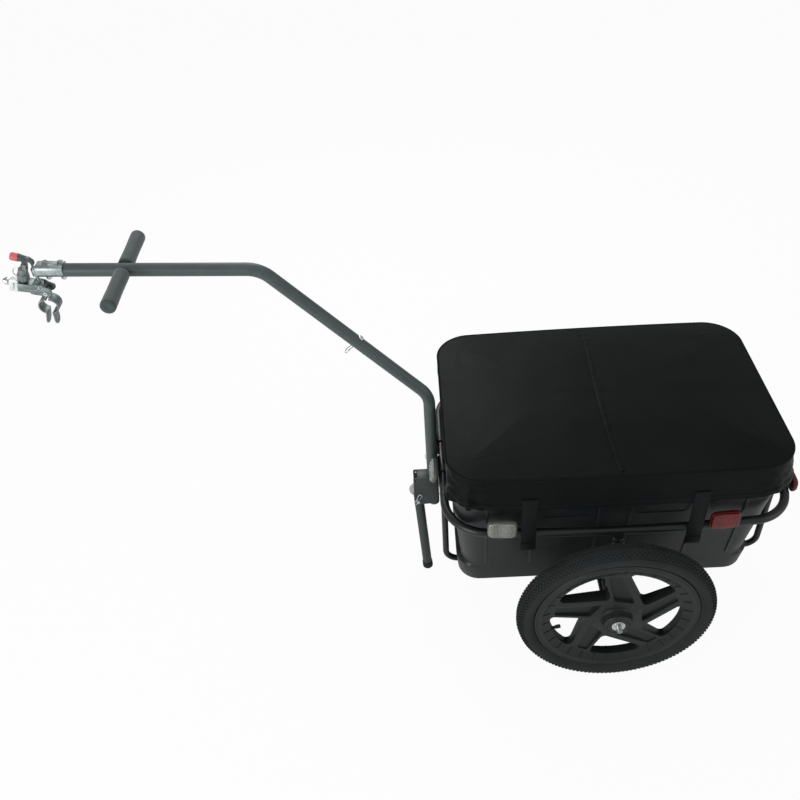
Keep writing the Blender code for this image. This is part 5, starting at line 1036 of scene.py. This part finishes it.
black_cloth = cloth("black_coated_polyester", "080b0b", "0f1414", 0.00055)
cover = lay_grid(sum(COVER_COLUMNS), SKIRT_ROWS + TOP_ROWS, cover_point, closed=True)
take_up(cover)
bpy.ops.object.mode_set(mode="EDIT")
bpy.ops.mesh.select_mode(type="EDGE")
bpy.ops.mesh.select_all(action="DESELECT")
bpy.ops.mesh.select_non_manifold()
bpy.ops.object.mode_set(mode="OBJECT")
for edge in cover.data.edges:
    if min(cover.data.vertices[index].co.z for index in edge.vertices) < COVER_SEAM_Z + COVER_DOME / 2:
        edge.select = False
bpy.ops.object.mode_set(mode="EDIT")
bpy.ops.mesh.edge_face_add()
bpy.ops.mesh.select_mode(type="VERT")
bpy.ops.object.mode_set(mode="OBJECT")
apply_modifier(cover, "SOLIDIFY", thickness=COVER_CLOTH, offset=-1, use_even_offset=False)
ease(cover, 70)
fit(cover, "draped_cover", black_cloth, "cover", "cover_fabric", "cover")


# The cover's trims: piping in the seam, a bound seam across the top, thread along seam and hem, and four
# straps of woven webbing that are sewn to the skirt and pass down over the rail.
STITCH = 0.0034
TAPE_HALF = 0.0050
STRAP_X = (0.174, -0.149)
STRAP_WIDTH = 0.030
STRAP_SHEET = 0.0013
STRAP_END_Z = 0.332
STRAP_BESIDE = 0.0098
STRAP_COLUMNS = 8


def sew(points, closed=False):
    """A row of thread stitches along points, all one mesh."""
    line = draw_line(points, closed)
    bpy.ops.mesh.primitive_uv_sphere_add(segments=6, ring_count=4, radius=1, location=(0, 0, 0),
                                         rotation=(0, math.pi / 2, 0), scale=(0.00028, 0.00028, 0.0013))
    stitch = set_down(bpy.context.object, Matrix.Identity(4))
    apply_modifier(stitch, "ARRAY", fit_type="FIT_CURVE", curve=line, use_relative_offset=False,
                   use_constant_offset=True, constant_offset_displace=(STITCH, 0, 0))
    apply_modifier(stitch, "CURVE", object=line, deform_axis="POS_X")
    discard(line)
    ease(stitch, 80)
    return stitch


def skirt_column(x, sign):
    """Column of the cover's loop that lies at a place along one of its long sides."""
    share = (1 - x / (COVER_HALF[0] - COVER_CORNER[1])) / 2
    return sum(COVER_COLUMNS[:2]) + 112 * share if sign > 0 else sum(COVER_COLUMNS[:6]) + 112 * (1 - share)


def outward(point, column, reach):
    """A point on the cover, moved out along its column's way."""
    way = cover_spot(column, 0.0, COVER_CORNER[1])[1]
    return point + Vector((way.x, way.y, 0)) * reach


columns = range(sum(COVER_COLUMNS))
around = [outward(cover_point(column, SKIRT_ROWS), column, 0.0006) for column in columns]
piping = draw_tube(around, PIPING, 4, closed=True)
fit(piping, "cover_piping", black_cloth, "cover", "cover_fabric")
threads = [sew([outward(cover_point(column, SKIRT_ROWS - 1.6), column, 0.0005) for column in columns],
               closed=True),
           sew([outward(cover_point(column, 3.4), column, 0.0007) for column in columns], closed=True)]


def tape_point(column, row):
    """The bound seam lies on the top from one long side to the other."""
    y = (2 * row / 120 - 1) * (COVER_HALF[1] - 0.004)
    x = cross_seam_x(y) + (1 - 2 * column / 6) * TAPE_HALF
    proud = 0.0009 - 0.0007 * abs(1 - 2 * column / 6) ** 3
    return Vector((AXLE_X + x, y, cover_top(x, y) + proud))


tape = lay_grid(6, 120, tape_point)
apply_modifier(tape, "SOLIDIFY", thickness=0.0007, offset=-1)
ease(tape, 60)
fit(tape, "cover_seam_tape", black_cloth, "cover", "cover_fabric")
for beside in (1, -1):
    path = []
    for step in range(121):
        y = (2 * step / 120 - 1) * (COVER_HALF[1] - 0.008)
        x = cross_seam_x(y) + beside * TAPE_HALF * 0.7
        path.append((AXLE_X + x, y, cover_top(x, y) + 0.0009))
    threads.append(sew(path))


def strap_line(x, sign):
    """The strap's inner face from its end up: beside the rail, out over the hem and up the skirt."""
    column = skirt_column(x, sign)
    beside = rail_y(x) + STRAP_BESIDE
    up_skirt = []
    for step in range(9):
        spot = cover_point(column, SKIRT_ROWS * (0.02 + 0.33 * step / 8))
        up_skirt.append((abs(spot.y) + 0.0008, spot.z))
    hem_y, hem_z = up_skirt[0]
    hang = [(beside + 0.0005 * math.sin(step * 0.9), STRAP_END_Z + (0.384 - STRAP_END_Z) * step / 8)
            for step in range(9)]
    rise = [(beside + (hem_y + 0.0008 - beside) * (share ** 1.5), 0.384 + (hem_z - 0.004 - 0.384) * share)
            for share in (0.2, 0.4, 0.6, 0.8, 1.0)]
    return hang + rise + up_skirt


def ribbon(x, sign, line):
    """A strap's width of webbing along a line of (distance from the middle, height)."""
    def place(column, row):
        out, height = line[row]
        return Vector((AXLE_X + x + sign * (0.5 - column / STRAP_COLUMNS) * STRAP_WIDTH, sign * out, height))
    piece = lay_grid(STRAP_COLUMNS, len(line) - 1, place)
    apply_modifier(piece, "SOLIDIFY", thickness=STRAP_SHEET, offset=1)
    return piece


webbing = cloth("black_woven_webbing", "0f1313", "1a1f1f", 0.0011, 0.04)
for x in STRAP_X:
    for side, sign in SIDES:
        line = strap_line(x, sign)
        turned_up = [(out + STRAP_SHEET, height) for out, height in line[:4]]
        strap = join_pieces([ribbon(x, sign, line), ribbon(x, sign, turned_up)])
        soften_edges(strap, 0.0003, 2, 50)
        end = "front" if x > 0 else "rear"
        fit(strap, f"webbing_strap_{end}_{side}", webbing, "cover", "cover_fabric")
        box_and_cross = ((1, 1), (1, 5), (-1, 5), (-1, 1), (1, 1), (-1, 5), (-1, 1), (1, 5))
        sewn = [(AXLE_X + x + across * (STRAP_WIDTH / 2 - 0.003),
                 sign * (line[-1 - row][0] + STRAP_SHEET + 0.0001), line[-1 - row][1])
                for across, row in box_and_cross]
        threads.append(sew(sewn))
thread_finish = cloth("polyester_thread", "1c2121", "343b3b", 0.0002, 0.1)
fit(join_pieces(threads), "sewing_thread", thread_finish, "cover", "cover_fabric")


# Reflectors: eight pillow-shaped lenses in trays, each on a nylon clip round the rail, with a screw under it.
# Behind the smooth face stand small prisms, so it looks cut up into bright and dark grains; the grains are
# painted into the lens colour, a painted reflection of the light the prisms throw back.
LENS_SIZE = (0.0290, 0.0220)
LENS_END_HEIGHT = 0.0170
LENS_BACK = 0.0141
LENS_FRONT = 0.0241
CLIP_BAND = (0.0093, 0.0121)
CLIP_HALF = 0.006
PRISM_PITCH = 0.0021
PRISM_ROW = 0.0044


def prism_lens_painted_glints(name, dark, light, tint):
    """Clear plastic over moulded prisms that throw light back: grainy below, the grains' bright and dark
    painted into the colour as painted reflection, glossy on top.
    """
    finish, surface = start_finish(name, {"Metallic": 0.55, "Coat Weight": 1.0, "Coat Roughness": 0.06,
                                          "Coat Tint": linear(tint), "Roughness": 0.22})
    tree, shader, place = surface
    cells = add_node(tree, "ShaderNodeTexVoronoi", values={"Scale": 1 / PRISM_PITCH, "Randomness": 0.12},
                     links={"Vector": place})
    bars = add_node(tree, "ShaderNodeTexWave", settings={"wave_type": "BANDS", "bands_direction": "Z"},
                    values={"Scale": BANDS_PER_WAVE / PRISM_ROW, "Distortion": 0}, links={"Vector": place})
    relief = add_node(tree, "ShaderNodeMath", settings={"operation": "MULTIPLY_ADD"},
                      values={1: 0.5}, links={0: bars.outputs["Fac"], 2: cells.outputs["Distance"]})
    # Painted reflection: bright cell middles and dark cell edges in the lens colour stand for the prisms
    # throwing light back.
    tone = add_node(tree, "ShaderNodeValToRGB", links={"Fac": cells.outputs["Distance"]},
                    stops=((0.15, light), (0.75, dark)))
    tree.links.new(tone.outputs["Color"], shader.inputs["Base Color"])
    raised(surface, relief.outputs[0], 0.9, 0.0007)
    return finish


def pillow(half_x, half_y, steps=72, power=0.42):
    """Outline of a rectangle with bowed sides and generous corners."""
    outline = []
    for step in range(steps):
        turn = math.tau * step / steps
        x, y = math.cos(turn), math.sin(turn)
        outline.append((half_x * math.copysign(abs(x) ** power, x),
                        half_y * math.copysign(abs(y) ** power, y)))
    return outline


def reflector(name, lens_finish, tray_finish, slot, place, half_height, middle, tilt=Matrix.Identity(4),
              power=0.42):
    """Lens, tray and clip, built looking up and then set on the rail."""
    half_length = LENS_SIZE[0]
    lens = blank(pillow(half_length - 0.0016, half_height - 0.0016, 72, power), LENS_FRONT - 0.0056,
                 LENS_FRONT)
    soften_edges(lens, 0.0016, 4)
    ribs = []
    for step in range(-4, 5):
        for rise in (-0.40, 0.40):
            rib = blank(pillow(0.0010, half_height * 0.30, 32), LENS_FRONT - 0.0030, LENS_FRONT + 0.0004)
            spot = (step * half_length * 0.185, rise * half_height, 0)
            ribs.append(set_down(rib, Matrix.Translation(spot)))
    lens = join_pieces([lens] + ribs)
    tray = blank(pillow(half_length, half_height, 72, power), LENS_BACK, LENS_BACK + 0.0062)
    soften_edges(tray, 0.0009, 3)
    turn = Matrix(((0, 0, 1, 0), (1, 0, 0, 0), (0, 1, 0, middle), (0, 0, 0, 1)))
    middle_place = Matrix.Translation((LENS_BACK + 0.004, 0, middle))
    leaned = place @ middle_place @ tilt @ middle_place.inverted() @ turn
    set_down(lens, leaned)
    set_down(tray, leaned)
    inner, outer = CLIP_BAND
    loop = lathe([(inner, -CLIP_HALF), (inner, CLIP_HALF), (outer - 0.0006, CLIP_HALF),
                  (outer, CLIP_HALF - 0.0006),
                  (outer, 0.0006 - CLIP_HALF), (outer - 0.0006, -CLIP_HALF)], 48, ring=True)
    set_down(loop, place @ Matrix.Rotation(math.pi / 2, 4, "X"))
    pad_rear, pad_foot, pad_top = 0.0106, -0.004, middle + half_height / 2
    pad = block(((LENS_BACK + pad_rear) / 2, 0, (pad_top + pad_foot) / 2),
                (LENS_BACK - pad_rear + 0.001, 2 * CLIP_HALF, pad_top - pad_foot), 0.0008)
    set_down(pad, place)
    lugs = []
    for along in (-0.0032, 0.0032):
        lugs.append(block((-0.0015, along, -outer - 0.0016), (0.0070, 0.0022, 0.0064), 0.0005))
    bolt = hexagon(0.0027, 0.0020)
    set_down(bolt, Matrix.Rotation(math.pi / 2, 4, "X"))
    set_down(bolt, Matrix.Translation((-0.0015, 0.0053, -outer - 0.0022)))
    for part in lugs + [bolt]:
        set_down(part, place)
    ease(loop)
    clip = join_pieces([loop, pad] + lugs)
    fit(lens, f"{name}_lens", lens_finish, "chassis", slot, name)
    fit(tray, f"{name}_tray", tray_finish, "chassis", slot)
    fit(clip, f"{name}_clip", clip_nylon, "chassis", slot)
    fit(bolt, f"{name}_clip_screw", plain_steel, "chassis", slot)


clip_nylon = moulded_plastic("black_nylon_clip", "171a1a", "222626", 0.0011, 0.40)
white_lens = prism_lens_painted_glints("clear_prism_lens", "50544f", "aeb2aa", "ffffff")
red_lens = prism_lens_painted_glints("red_prism_lens", "360407", "8e1a1e", "ff9090")
white_tray = moulded_plastic("grey_lens_tray", "50544f", "666a64", 0.0010, 0.35)
red_tray = moulded_plastic("red_lens_tray", "3a0a0c", "561216", 0.0010, 0.30)
for side, sign in SIDES:
    for x, colour, glass, tray_finish, slot in ((0.225, "white", white_lens, white_tray, "clear_lens"),
                                                (-0.200, "red", red_lens, red_tray, "red_lens")):
        slope = math.atan2(rail_y(x + 0.001) - rail_y(x - 0.001), 0.002)
        place = Matrix.Translation((AXLE_X + x, sign * rail_y(x), RAIL_Z)) @ Matrix.Rotation(
            sign * (math.pi / 2 + slope), 4, "Z")
        reflector(f"reflector_side_{colour}_{side}", glass, tray_finish, slot, place, LENS_SIZE[1],
                  0.402 - RAIL_Z)
    ends = (("front", RAIL_FRONT, 0.046, white_lens, white_tray, "clear_lens"),
            ("rear", RAIL_REAR, 0.120, red_lens, red_tray, "red_lens"))
    for name, x, y, glass, tray_finish, slot in ends:
        place = (Matrix.Translation((AXLE_X + x, sign * y, RAIL_Z))
                 @ Matrix.Rotation(0 if x > 0 else math.pi, 4, "Z"))
        tilt = Matrix.Rotation(math.radians(-20 if x > 0 else 0), 4, "Y")
        reflector(f"reflector_{name}_{side}", glass, tray_finish, slot, place, LENS_END_HEIGHT,
                  0.378 - RAIL_Z, tilt, 0.58)


# Tow bar: steel tube, 24.6 mm over its slate powder coat, bent up from the bracket and forward to the hitch.
# The upper tube slips over a reduced end of the lower one, and a pin with a spring ring holds them.
BAR_RADIUS = 0.0115
BAR_COATED = 0.0123
BAR_FOOT = Vector((AXLE_X + 0.3538, 0, 0.232))
BAR_ELBOW = Vector((AXLE_X + 0.3538, 0, 0.548))
SLANT = Vector((math.cos(math.radians(47.5)), 0, math.sin(math.radians(47.5))))
TOP_BEND = BAR_ELBOW + SLANT * 0.4352
RUN = Vector((math.cos(math.radians(3.6)), 0, math.sin(math.radians(3.6))))
BAR_END = TOP_BEND + RUN * 0.3965
BAR_BEND = 0.060
BAR_JOINT = BAR_ELBOW + SLANT * 0.170
JOINT_PIN_UP = 0.028
PIN_RADIUS = 0.003
WIRE = 0.0010


def collar(middle, way, radius, half, proud):
    """The slightly opened and deburred mouth of a tube."""
    ring = lathe([(radius + 0.0001, -half), (radius + proud, -half * 0.6), (radius + proud, half * 0.6),
                  (radius + 0.0001, half),
                  (radius - 0.0012, half), (radius - 0.0012, -half)], 56, ring=True, smooth=32)
    return set_down(ring, at_place(middle, way))


slate_coat = powder_coat("slate_powder_coat", "455251", "525f5d", 0.40)
lower = draw_tube(round_corners([BAR_FOOT, BAR_ELBOW, BAR_JOINT], BAR_BEND, 22), BAR_COATED, 12)
fit(lower, "bar_lower_bent_tube", slate_coat, "chassis", "slate_paint", "bar_lower_tube")
upper = draw_tube(round_corners([BAR_JOINT + SLANT * 0.0003, TOP_BEND, BAR_END], BAR_BEND, 22), BAR_COATED,
                  12)
upper = join_pieces([upper, collar(BAR_JOINT + SLANT * 0.0013, SLANT, BAR_COATED, 0.0011, 0.0003)])
fit(upper, "bar_upper_bent_tube", slate_coat, "chassis", "slate_paint", "bar_upper_tube")

across = Vector((-SLANT.z, 0, SLANT.x))
pin_place = at_place(BAR_JOINT + SLANT * JOINT_PIN_UP, across)
reach = BAR_RADIUS + 0.0003
tail = -reach - 0.012
pin = lathe([(PIN_RADIUS * 0.7, tail), (PIN_RADIUS, tail + 0.0009), (PIN_RADIUS, reach),
             (0.0060, reach + 0.0002),
             (0.0062, reach + 0.0010), (0.0052, reach + 0.0022), (0.0034, reach + 0.0032),
             (0.0012, reach + 0.0036)], 40, smooth=40)
eye = tail + 0.004
ring_points = [(0.0070 * math.sin(math.tau * step / 48), 0,
                eye - 0.0070 * (1 - math.cos(math.tau * step / 48)))
               for step in range(48)]
ring = draw_tube(ring_points, WIRE, 4, closed=True)
fit(set_down(pin, pin_place), "joint_clevis_pin", bright_zinc, "joint_pin", "bright_zinc", "bar_joint_pin")
fit(set_down(ring, pin_place), "joint_pin_ring", chrome_plate, "joint_pin", "bright_zinc", "bar_joint_ring")

front = BAR_FOOT.x + BAR_RADIUS + 0.0003
rear = AXLE_X + RAIL_FRONT - RAIL_RADIUS - 0.004
pin = lathe([(PIN_RADIUS * 0.7, rear - front), (PIN_RADIUS, rear - front + 0.0008), (PIN_RADIUS, 0),
             (0.0050, 0.0001),
             (0.0050, 0.0016), (0.0042, 0.0026), (0.0028, 0.0033), (0.0010, 0.0036)], 40, smooth=40)
pin_seat = at_place(Vector((front, 0, BASE_PIN_Z)), Vector((1, 0, 0)))
fit(set_down(pin, pin_seat), "base_clevis_pin", bright_zinc, "base_pin",
    "bright_zinc", "bar_base_pin")


# Handle: a tube across the bar near its end, with closed-cell foam grips that are rounded at their ends.
# Each grip's skin is soft and a little dusty; the fine flute where the foam was slit is not modelled.
HANDLE_PLACE = BAR_END - RUN * 0.152
HANDLE_RADIUS = 0.008
HANDLE_HALF = 0.120
FOAM_RADIUS = 0.014
FOAM_LENGTH = 0.1065


foam, surface = start_finish("closed_cell_grip_foam", {"Specular IOR Level": 0.32, "Sheen Weight": 0.3,
                                                       "Sheen Roughness": 0.5})
patchy(surface, {"Scale": 30, "Detail": 7, "Roughness": 0.65}, ((0.3, "3a4444"), (0.72, "4d5757")),
       (0.55, 0.85))
cells = add_node(surface[0], "ShaderNodeTexVoronoi", values={"Scale": 1 / 0.0012},
                 links={"Vector": surface[2]})
raised(surface, cells.outputs["Distance"], 0.35, 0.0003)

tube = lathe([(HANDLE_RADIUS, 0.0055 - HANDLE_HALF), (HANDLE_RADIUS, HANDLE_HALF - 0.0055)], 48, smooth=32)
handle_place = at_place(HANDLE_PLACE, Vector((0, 1, 0)))
fit(set_down(tube, handle_place), "handle_cross_tube", slate_coat, "chassis", "slate_paint", "handle_tube")
end, start = HANDLE_HALF, HANDLE_HALF - FOAM_LENGTH
section = [(HANDLE_RADIUS + 0.0003, start), (FOAM_RADIUS - 0.0034, start),
           (FOAM_RADIUS - 0.0012, start + 0.0006),
           (FOAM_RADIUS - 0.0002, start + 0.0020), (FOAM_RADIUS, start + 0.0044)]
section += [(FOAM_RADIUS - 0.00025 * (1 - math.cos(share * math.tau)),
             start + 0.0044 + share * (FOAM_LENGTH - 0.0088))
            for share in [step / 14 for step in range(1, 14)]]
section += [(FOAM_RADIUS, end - 0.0044), (FOAM_RADIUS - 0.0004, end - 0.0020),
            (FOAM_RADIUS - 0.0018, end - 0.0006),
            (FOAM_RADIUS - 0.0045, end - 0.0001), (0.0030, end), (0.0020, end - 0.0008),
            (0.0010, end - 0.0008)]
for side, sign in SIDES:
    grip = lathe(section, 64, smooth=40)
    set_down(grip, at_place(HANDLE_PLACE, Vector((0, sign, 0))))
    fit(grip, f"foam_grip_{side}", foam, "chassis", "grip_foam", f"handle_grip_{side}")


# Leg: a tube with a rubber foot that folds up on a pin through the bar's folded bracket.
# The pin has a spring clip in its near end and a ribbed knob on the far one that clamps it.
PIVOT = Vector((AXLE_X + 0.3885, 0, 0.252))
LEG_LEAN = math.radians(2.8)
LEG_RADIUS = 0.0108
CHEEK_Y = BAR_RADIUS + 0.0003 + 0.0014
BRACKET_SHEET = 0.0028
BRACKET_OUTLINE = ((0.3445, 0.321), (0.3445, 0.240), (0.3975, 0.236), (0.3975, 0.321))
KNOB_RADIUS = 0.0205
KNOB_LOBES = 30
LEG_PIN_RADIUS = 0.0040


def flute(piece, count, depth, beyond):
    """Draws in the rim of a turned piece, beyond a radius, in flutes as deep as a share of its width."""
    for vertex in piece.data.vertices:
        if math.hypot(vertex.co.x, vertex.co.y) > beyond:
            shrink = 1 - depth * max(-math.cos(math.atan2(vertex.co.y, vertex.co.x) * count), 0)
            vertex.co.x *= shrink
            vertex.co.y *= shrink
    ease(piece, 40)


leg_coat = powder_coat("dark_grey_powder_coat", "2f3736", "3d4544", 0.36)
cheeks = []
upright = Matrix.Rotation(math.pi / 2, 4, "X")
for sign in (1, -1):
    outline = round_corners([(x, z, 0) for x, z in BRACKET_OUTLINE], [0.004, 0.015, 0.004, 0.004], 10,
                            closed=True)
    cheek = blank([(point.x, point.y) for point in outline], -BRACKET_SHEET / 2, BRACKET_SHEET / 2)
    for x, z, radius in ((0.3920, 0.3135, 0.0022), (0.3885, 0.252, 0.0043)):
        drill(cheek, radius, 0.02, (x, z, 0))
    set_down(cheek, Matrix.Translation((AXLE_X, sign * CHEEK_Y, 0)) @ upright)
    cheeks.append(soften_edges(cheek, 0.0004, 2))
cheeks.append(block((AXLE_X + 0.3735, 0, 0.3196), (0.0300, 2 * CHEEK_Y, 0.0026), 0.0004))
fit(join_pieces(cheeks), "folded_leg_bracket", leg_coat, "chassis", "black_paint", "bar_bracket")

leg_place = Matrix.Translation(PIVOT) @ Matrix.Rotation(LEG_LEAN, 4, "Y")
drop = PIVOT.z / math.cos(LEG_LEAN)
foot = -drop + 0.0015 + LEG_RADIUS * math.tan(LEG_LEAN) + 0.001
leg = lathe([(LEG_RADIUS - 0.0010, foot), (LEG_RADIUS, foot + 0.0010), (LEG_RADIUS, 0.0060),
             (LEG_RADIUS - 0.0012, 0.0085),
             (LEG_RADIUS - 0.0034, 0.0095)], 56)
drill(leg, LEG_PIN_RADIUS + 0.0004, 0.05, turn=(math.pi / 2, 0, 0))
ease(leg)
fit(set_down(leg, leg_place), "folding_leg_tube", leg_coat, "leg", "black_paint", "stand_leg")
cap_top = foot + 0.016
inner, outer = LEG_RADIUS + 0.0002, LEG_RADIUS + 0.0013
cap = lathe([(inner, foot - 0.0003), (inner, cap_top - 0.0004), (inner + 0.0004, cap_top),
             (outer - 0.0004, cap_top),
             (outer, cap_top - 0.0005), (outer, foot + 0.0060), (outer + 0.00025, foot + 0.0050),
             (outer + 0.00025, foot + 0.0035),
             (outer, foot + 0.0025), (outer, foot - 0.0006), (outer * 0.55, -PIVOT.z - 0.004),
             (0.0012, -PIVOT.z - 0.004),
             (0.0012, foot - 0.0003)], 56, ring=True)
bpy.ops.mesh.primitive_cube_add(size=1, location=(0, 0, 0), scale=(0.06, 0.06, 0.03))
below_foot = Matrix.Rotation(-LEG_LEAN, 4, "Y") @ Matrix.Translation((0, 0, -PIVOT.z - 0.015))
ground = set_down(bpy.context.object, below_foot)
machine(cap, ground)
ease(cap, 40)
fit(set_down(cap, leg_place), "rubber_foot_cap", tyre_rubber, "leg", "tyre_rubber", "leg_foot_cap")

side_reach = CHEEK_Y + BRACKET_SHEET / 2 + 0.0003
pivot_place = at_place(PIVOT, Vector((0, 1, 0)))
pin_end = side_reach + 0.008
pin = lathe([(LEG_PIN_RADIUS, -side_reach - 0.0052), (LEG_PIN_RADIUS, pin_end - 0.0010),
             (0.0037, pin_end - 0.0003), (0.0030, pin_end)], 40, smooth=32)
fit(set_down(pin, pivot_place), "leg_clevis_pin", bright_zinc, "chassis", "bright_zinc", "leg_pivot_pin")
knob = lathe([(0.0043, side_reach + 0.0001), (KNOB_RADIUS * 0.84, side_reach),
              (KNOB_RADIUS * 0.97, side_reach + 0.0014),
              (KNOB_RADIUS, side_reach + 0.0028), (KNOB_RADIUS, side_reach + 0.0056),
              (KNOB_RADIUS * 0.97, side_reach + 0.0070),
              (KNOB_RADIUS * 0.86, side_reach + 0.0079), (KNOB_RADIUS * 0.55, side_reach + 0.0080),
              (KNOB_RADIUS * 0.50, side_reach + 0.0072), (0.0014, side_reach + 0.0072),
              (0.0014, side_reach + 0.0055),
              (0.0043, side_reach + 0.0055)], 4 * KNOB_LOBES, ring=True)
flute(knob, KNOB_LOBES, 0.035, KNOB_RADIUS * 0.9)
grey_nylon = moulded_plastic("grey_nylon", "707b79", "858f8d", 0.0011, 0.36)
pale_nylon = moulded_plastic("pale_grey_nylon", "a9ada6", "c1c5be", 0.0011, 0.36)
fit(set_down(knob, at_place(PIVOT, Vector((0, -1, 0)))), "ribbed_lock_knob", pale_nylon, "knob", "grey_nylon",
    "leg_lock_knob")
dress_solid("leg_clip", chrome_plate)


# Hitch: a zinc channel over the bar's end with two bolts, and under its nose the head that yaws and pitches.
# The head's pressed cheeks carry the lock, its lever, a slotted clevis in front and the seatpost clamp below.
SLEEVE_PLACE = Matrix.Translation(BAR_END) @ Matrix.Rotation(-math.radians(3.6), 4, "Y")
SLEEVE_TOP = BAR_RADIUS + 0.0003 + 0.002


def refined(node, name, finish, body, slot, width=0.0005, segments=2, angle=33):
    """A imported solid's own shape, welded from its loose triangles, with its sharp edges rounded."""
    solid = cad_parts[node]
    piece = copy_piece(solid)
    for key in list(piece.keys()):
        del piece[key]
    piece.parent = None
    piece.matrix_world = solid.matrix_world
    set_down(piece, Matrix.Identity(4))
    edit(piece, (bpy.ops.mesh.remove_doubles, {"threshold": 0.00002}),
         (bpy.ops.mesh.normals_make_consistent, {"inside": False}))
    if width:
        soften_edges(piece, width, segments, angle)
    else:
        ease(piece, 40)
    return fit(piece, name, finish, body, slot, node)


sleeve_zinc = plated_metal("sleeve_bright_zinc", "98a3a3", "bcc5c5", 0.40)
# The clevis's zinc is near-white and mostly unmetallic: painted glare, a painted reflection of the bright
# surround that makes it lighter than the other zinc parts.
clevis_zinc_painted_glare = plated_metal("clevis_zinc_with_painted_glare", "e2eaea", "f6fafa", 0.45, 0.25)
pressed_zinc = plated_metal("pressed_grey_zinc", "737e7d", "8d9796", 0.46)
dark_nylon = moulded_plastic("dark_lever_nylon", "3a4342", "4d5655", 0.0010, 0.34)
refined("hitch_sleeve", "bar_end_sleeve", sleeve_zinc, "chassis", "bright_zinc", 0.0005)
for place, back in (("front", 0.0145), ("rear", 0.0415)):
    bolt_head = hexagon(0.0052, 0.0045)
    set_down(bolt_head, Matrix.Translation((-back, 0, SLEEVE_TOP + 0.0003 + 0.00225)))
    washer = lathe([(0.0031, SLEEVE_TOP + 0.0001), (0.0056, SLEEVE_TOP + 0.0001),
                    (0.0057, SLEEVE_TOP + 0.0005),
                    (0.0055, SLEEVE_TOP + 0.0009), (0.0031, SLEEVE_TOP + 0.0009)], 40, ring=True, smooth=32)
    set_down(washer, Matrix.Translation((-back, 0, 0)))
    low = -BAR_RADIUS - 0.0003 - 0.007
    shank = lathe([(0.0024, low)] + thread(0.0030, low + 0.0005, low + 0.0070)
                  + [(0.0030, SLEEVE_TOP + 0.001)], 32, smooth=30)
    set_down(shank, Matrix.Translation((-back, 0, 0)))
    bolt = set_down(join_pieces([bolt_head, washer, shank]), SLEEVE_PLACE)
    fit(bolt, f"sleeve_hex_bolt_{place}", plain_steel, "chassis", "steel", f"sleeve_bolt_{place}")
    nut = hexagon(0.0052, 0.0050, 0.0031)
    set_down(nut, SLEEVE_PLACE @ Matrix.Translation((-back, 0, -BAR_RADIUS - 0.0003 - 0.0025)))
    fit(nut, f"sleeve_hex_nut_{place}", bright_zinc, "chassis", "steel", f"sleeve_nut_{place}")
refined("swivel_bolt", "upright_swivel_bolt", plain_steel, "chassis", "steel", 0.0003)
refined("swivel_block", "swivel_trunnion_block", plain_steel, "swivel", "steel", 0.0004)
refined("hitch_bracket", "pressed_hitch_cheeks", pressed_zinc, "head", "grey_zinc", 0.0005)
refined("lock_housing", "fluted_lock_housing", grey_nylon, "head", "grey_nylon", 0.0003)
HEAD_PLACE = Matrix.Translation((AXLE_X + 1.051495, 0, 0.862)) @ Matrix.Rotation(-math.radians(16), 4, "Y")
collar_ring = lathe([(0.0086, 0.0068), (0.0100, 0.0068), (0.0107, 0.0076), (0.0110, 0.0100), (0.0110, 0.0158),
                     (0.0106, 0.0182),
                     (0.0098, 0.0190), (0.0086, 0.0190)], 96, ring=True)
flute(collar_ring, 8, 0.06, 0.0095)
fit(set_down(collar_ring, HEAD_PLACE @ Matrix.Translation((0.0295, 0, 0))), "fluted_lock_collar", grey_nylon,
    "head",
    "grey_nylon")
refined("safety_ring", "wire_safety_ring", chrome_plate, "head", "steel", 0)
refined("hitch_clevis", "slotted_clevis", clevis_zinc_painted_glare, "head", "bright_zinc", 0.0005)
refined("clevis_bolt", "domed_clevis_bolt", chrome_plate, "head", "chrome", 0.0003)
refined("clamp_pivot_bolt", "hollow_clamp_rivet", bright_zinc, "head", "bright_zinc", 0.0002)
refined("lock_plunger", "spring_lock_plunger", plain_steel, "plunger", "steel", 0.0002)
refined("lock_lever", "curved_lock_lever", dark_nylon, "lever", "grey_zinc", 0.0004)
refined("clamp_half_rear", "clamp_band_rear", pressed_zinc, "clamp_rear", "grey_zinc", 0.0004)
refined("clamp_half_front", "clamp_band_front", pressed_zinc, "clamp_front", "grey_zinc", 0.0004)
red_soft = moulded_plastic("red_vinyl_grip", "cc4a52", "e07a82", 0.0010, 0.30)
refined("lever_grip", "red_lever_tip", red_soft, "lever", "red_plastic", 0.0003)
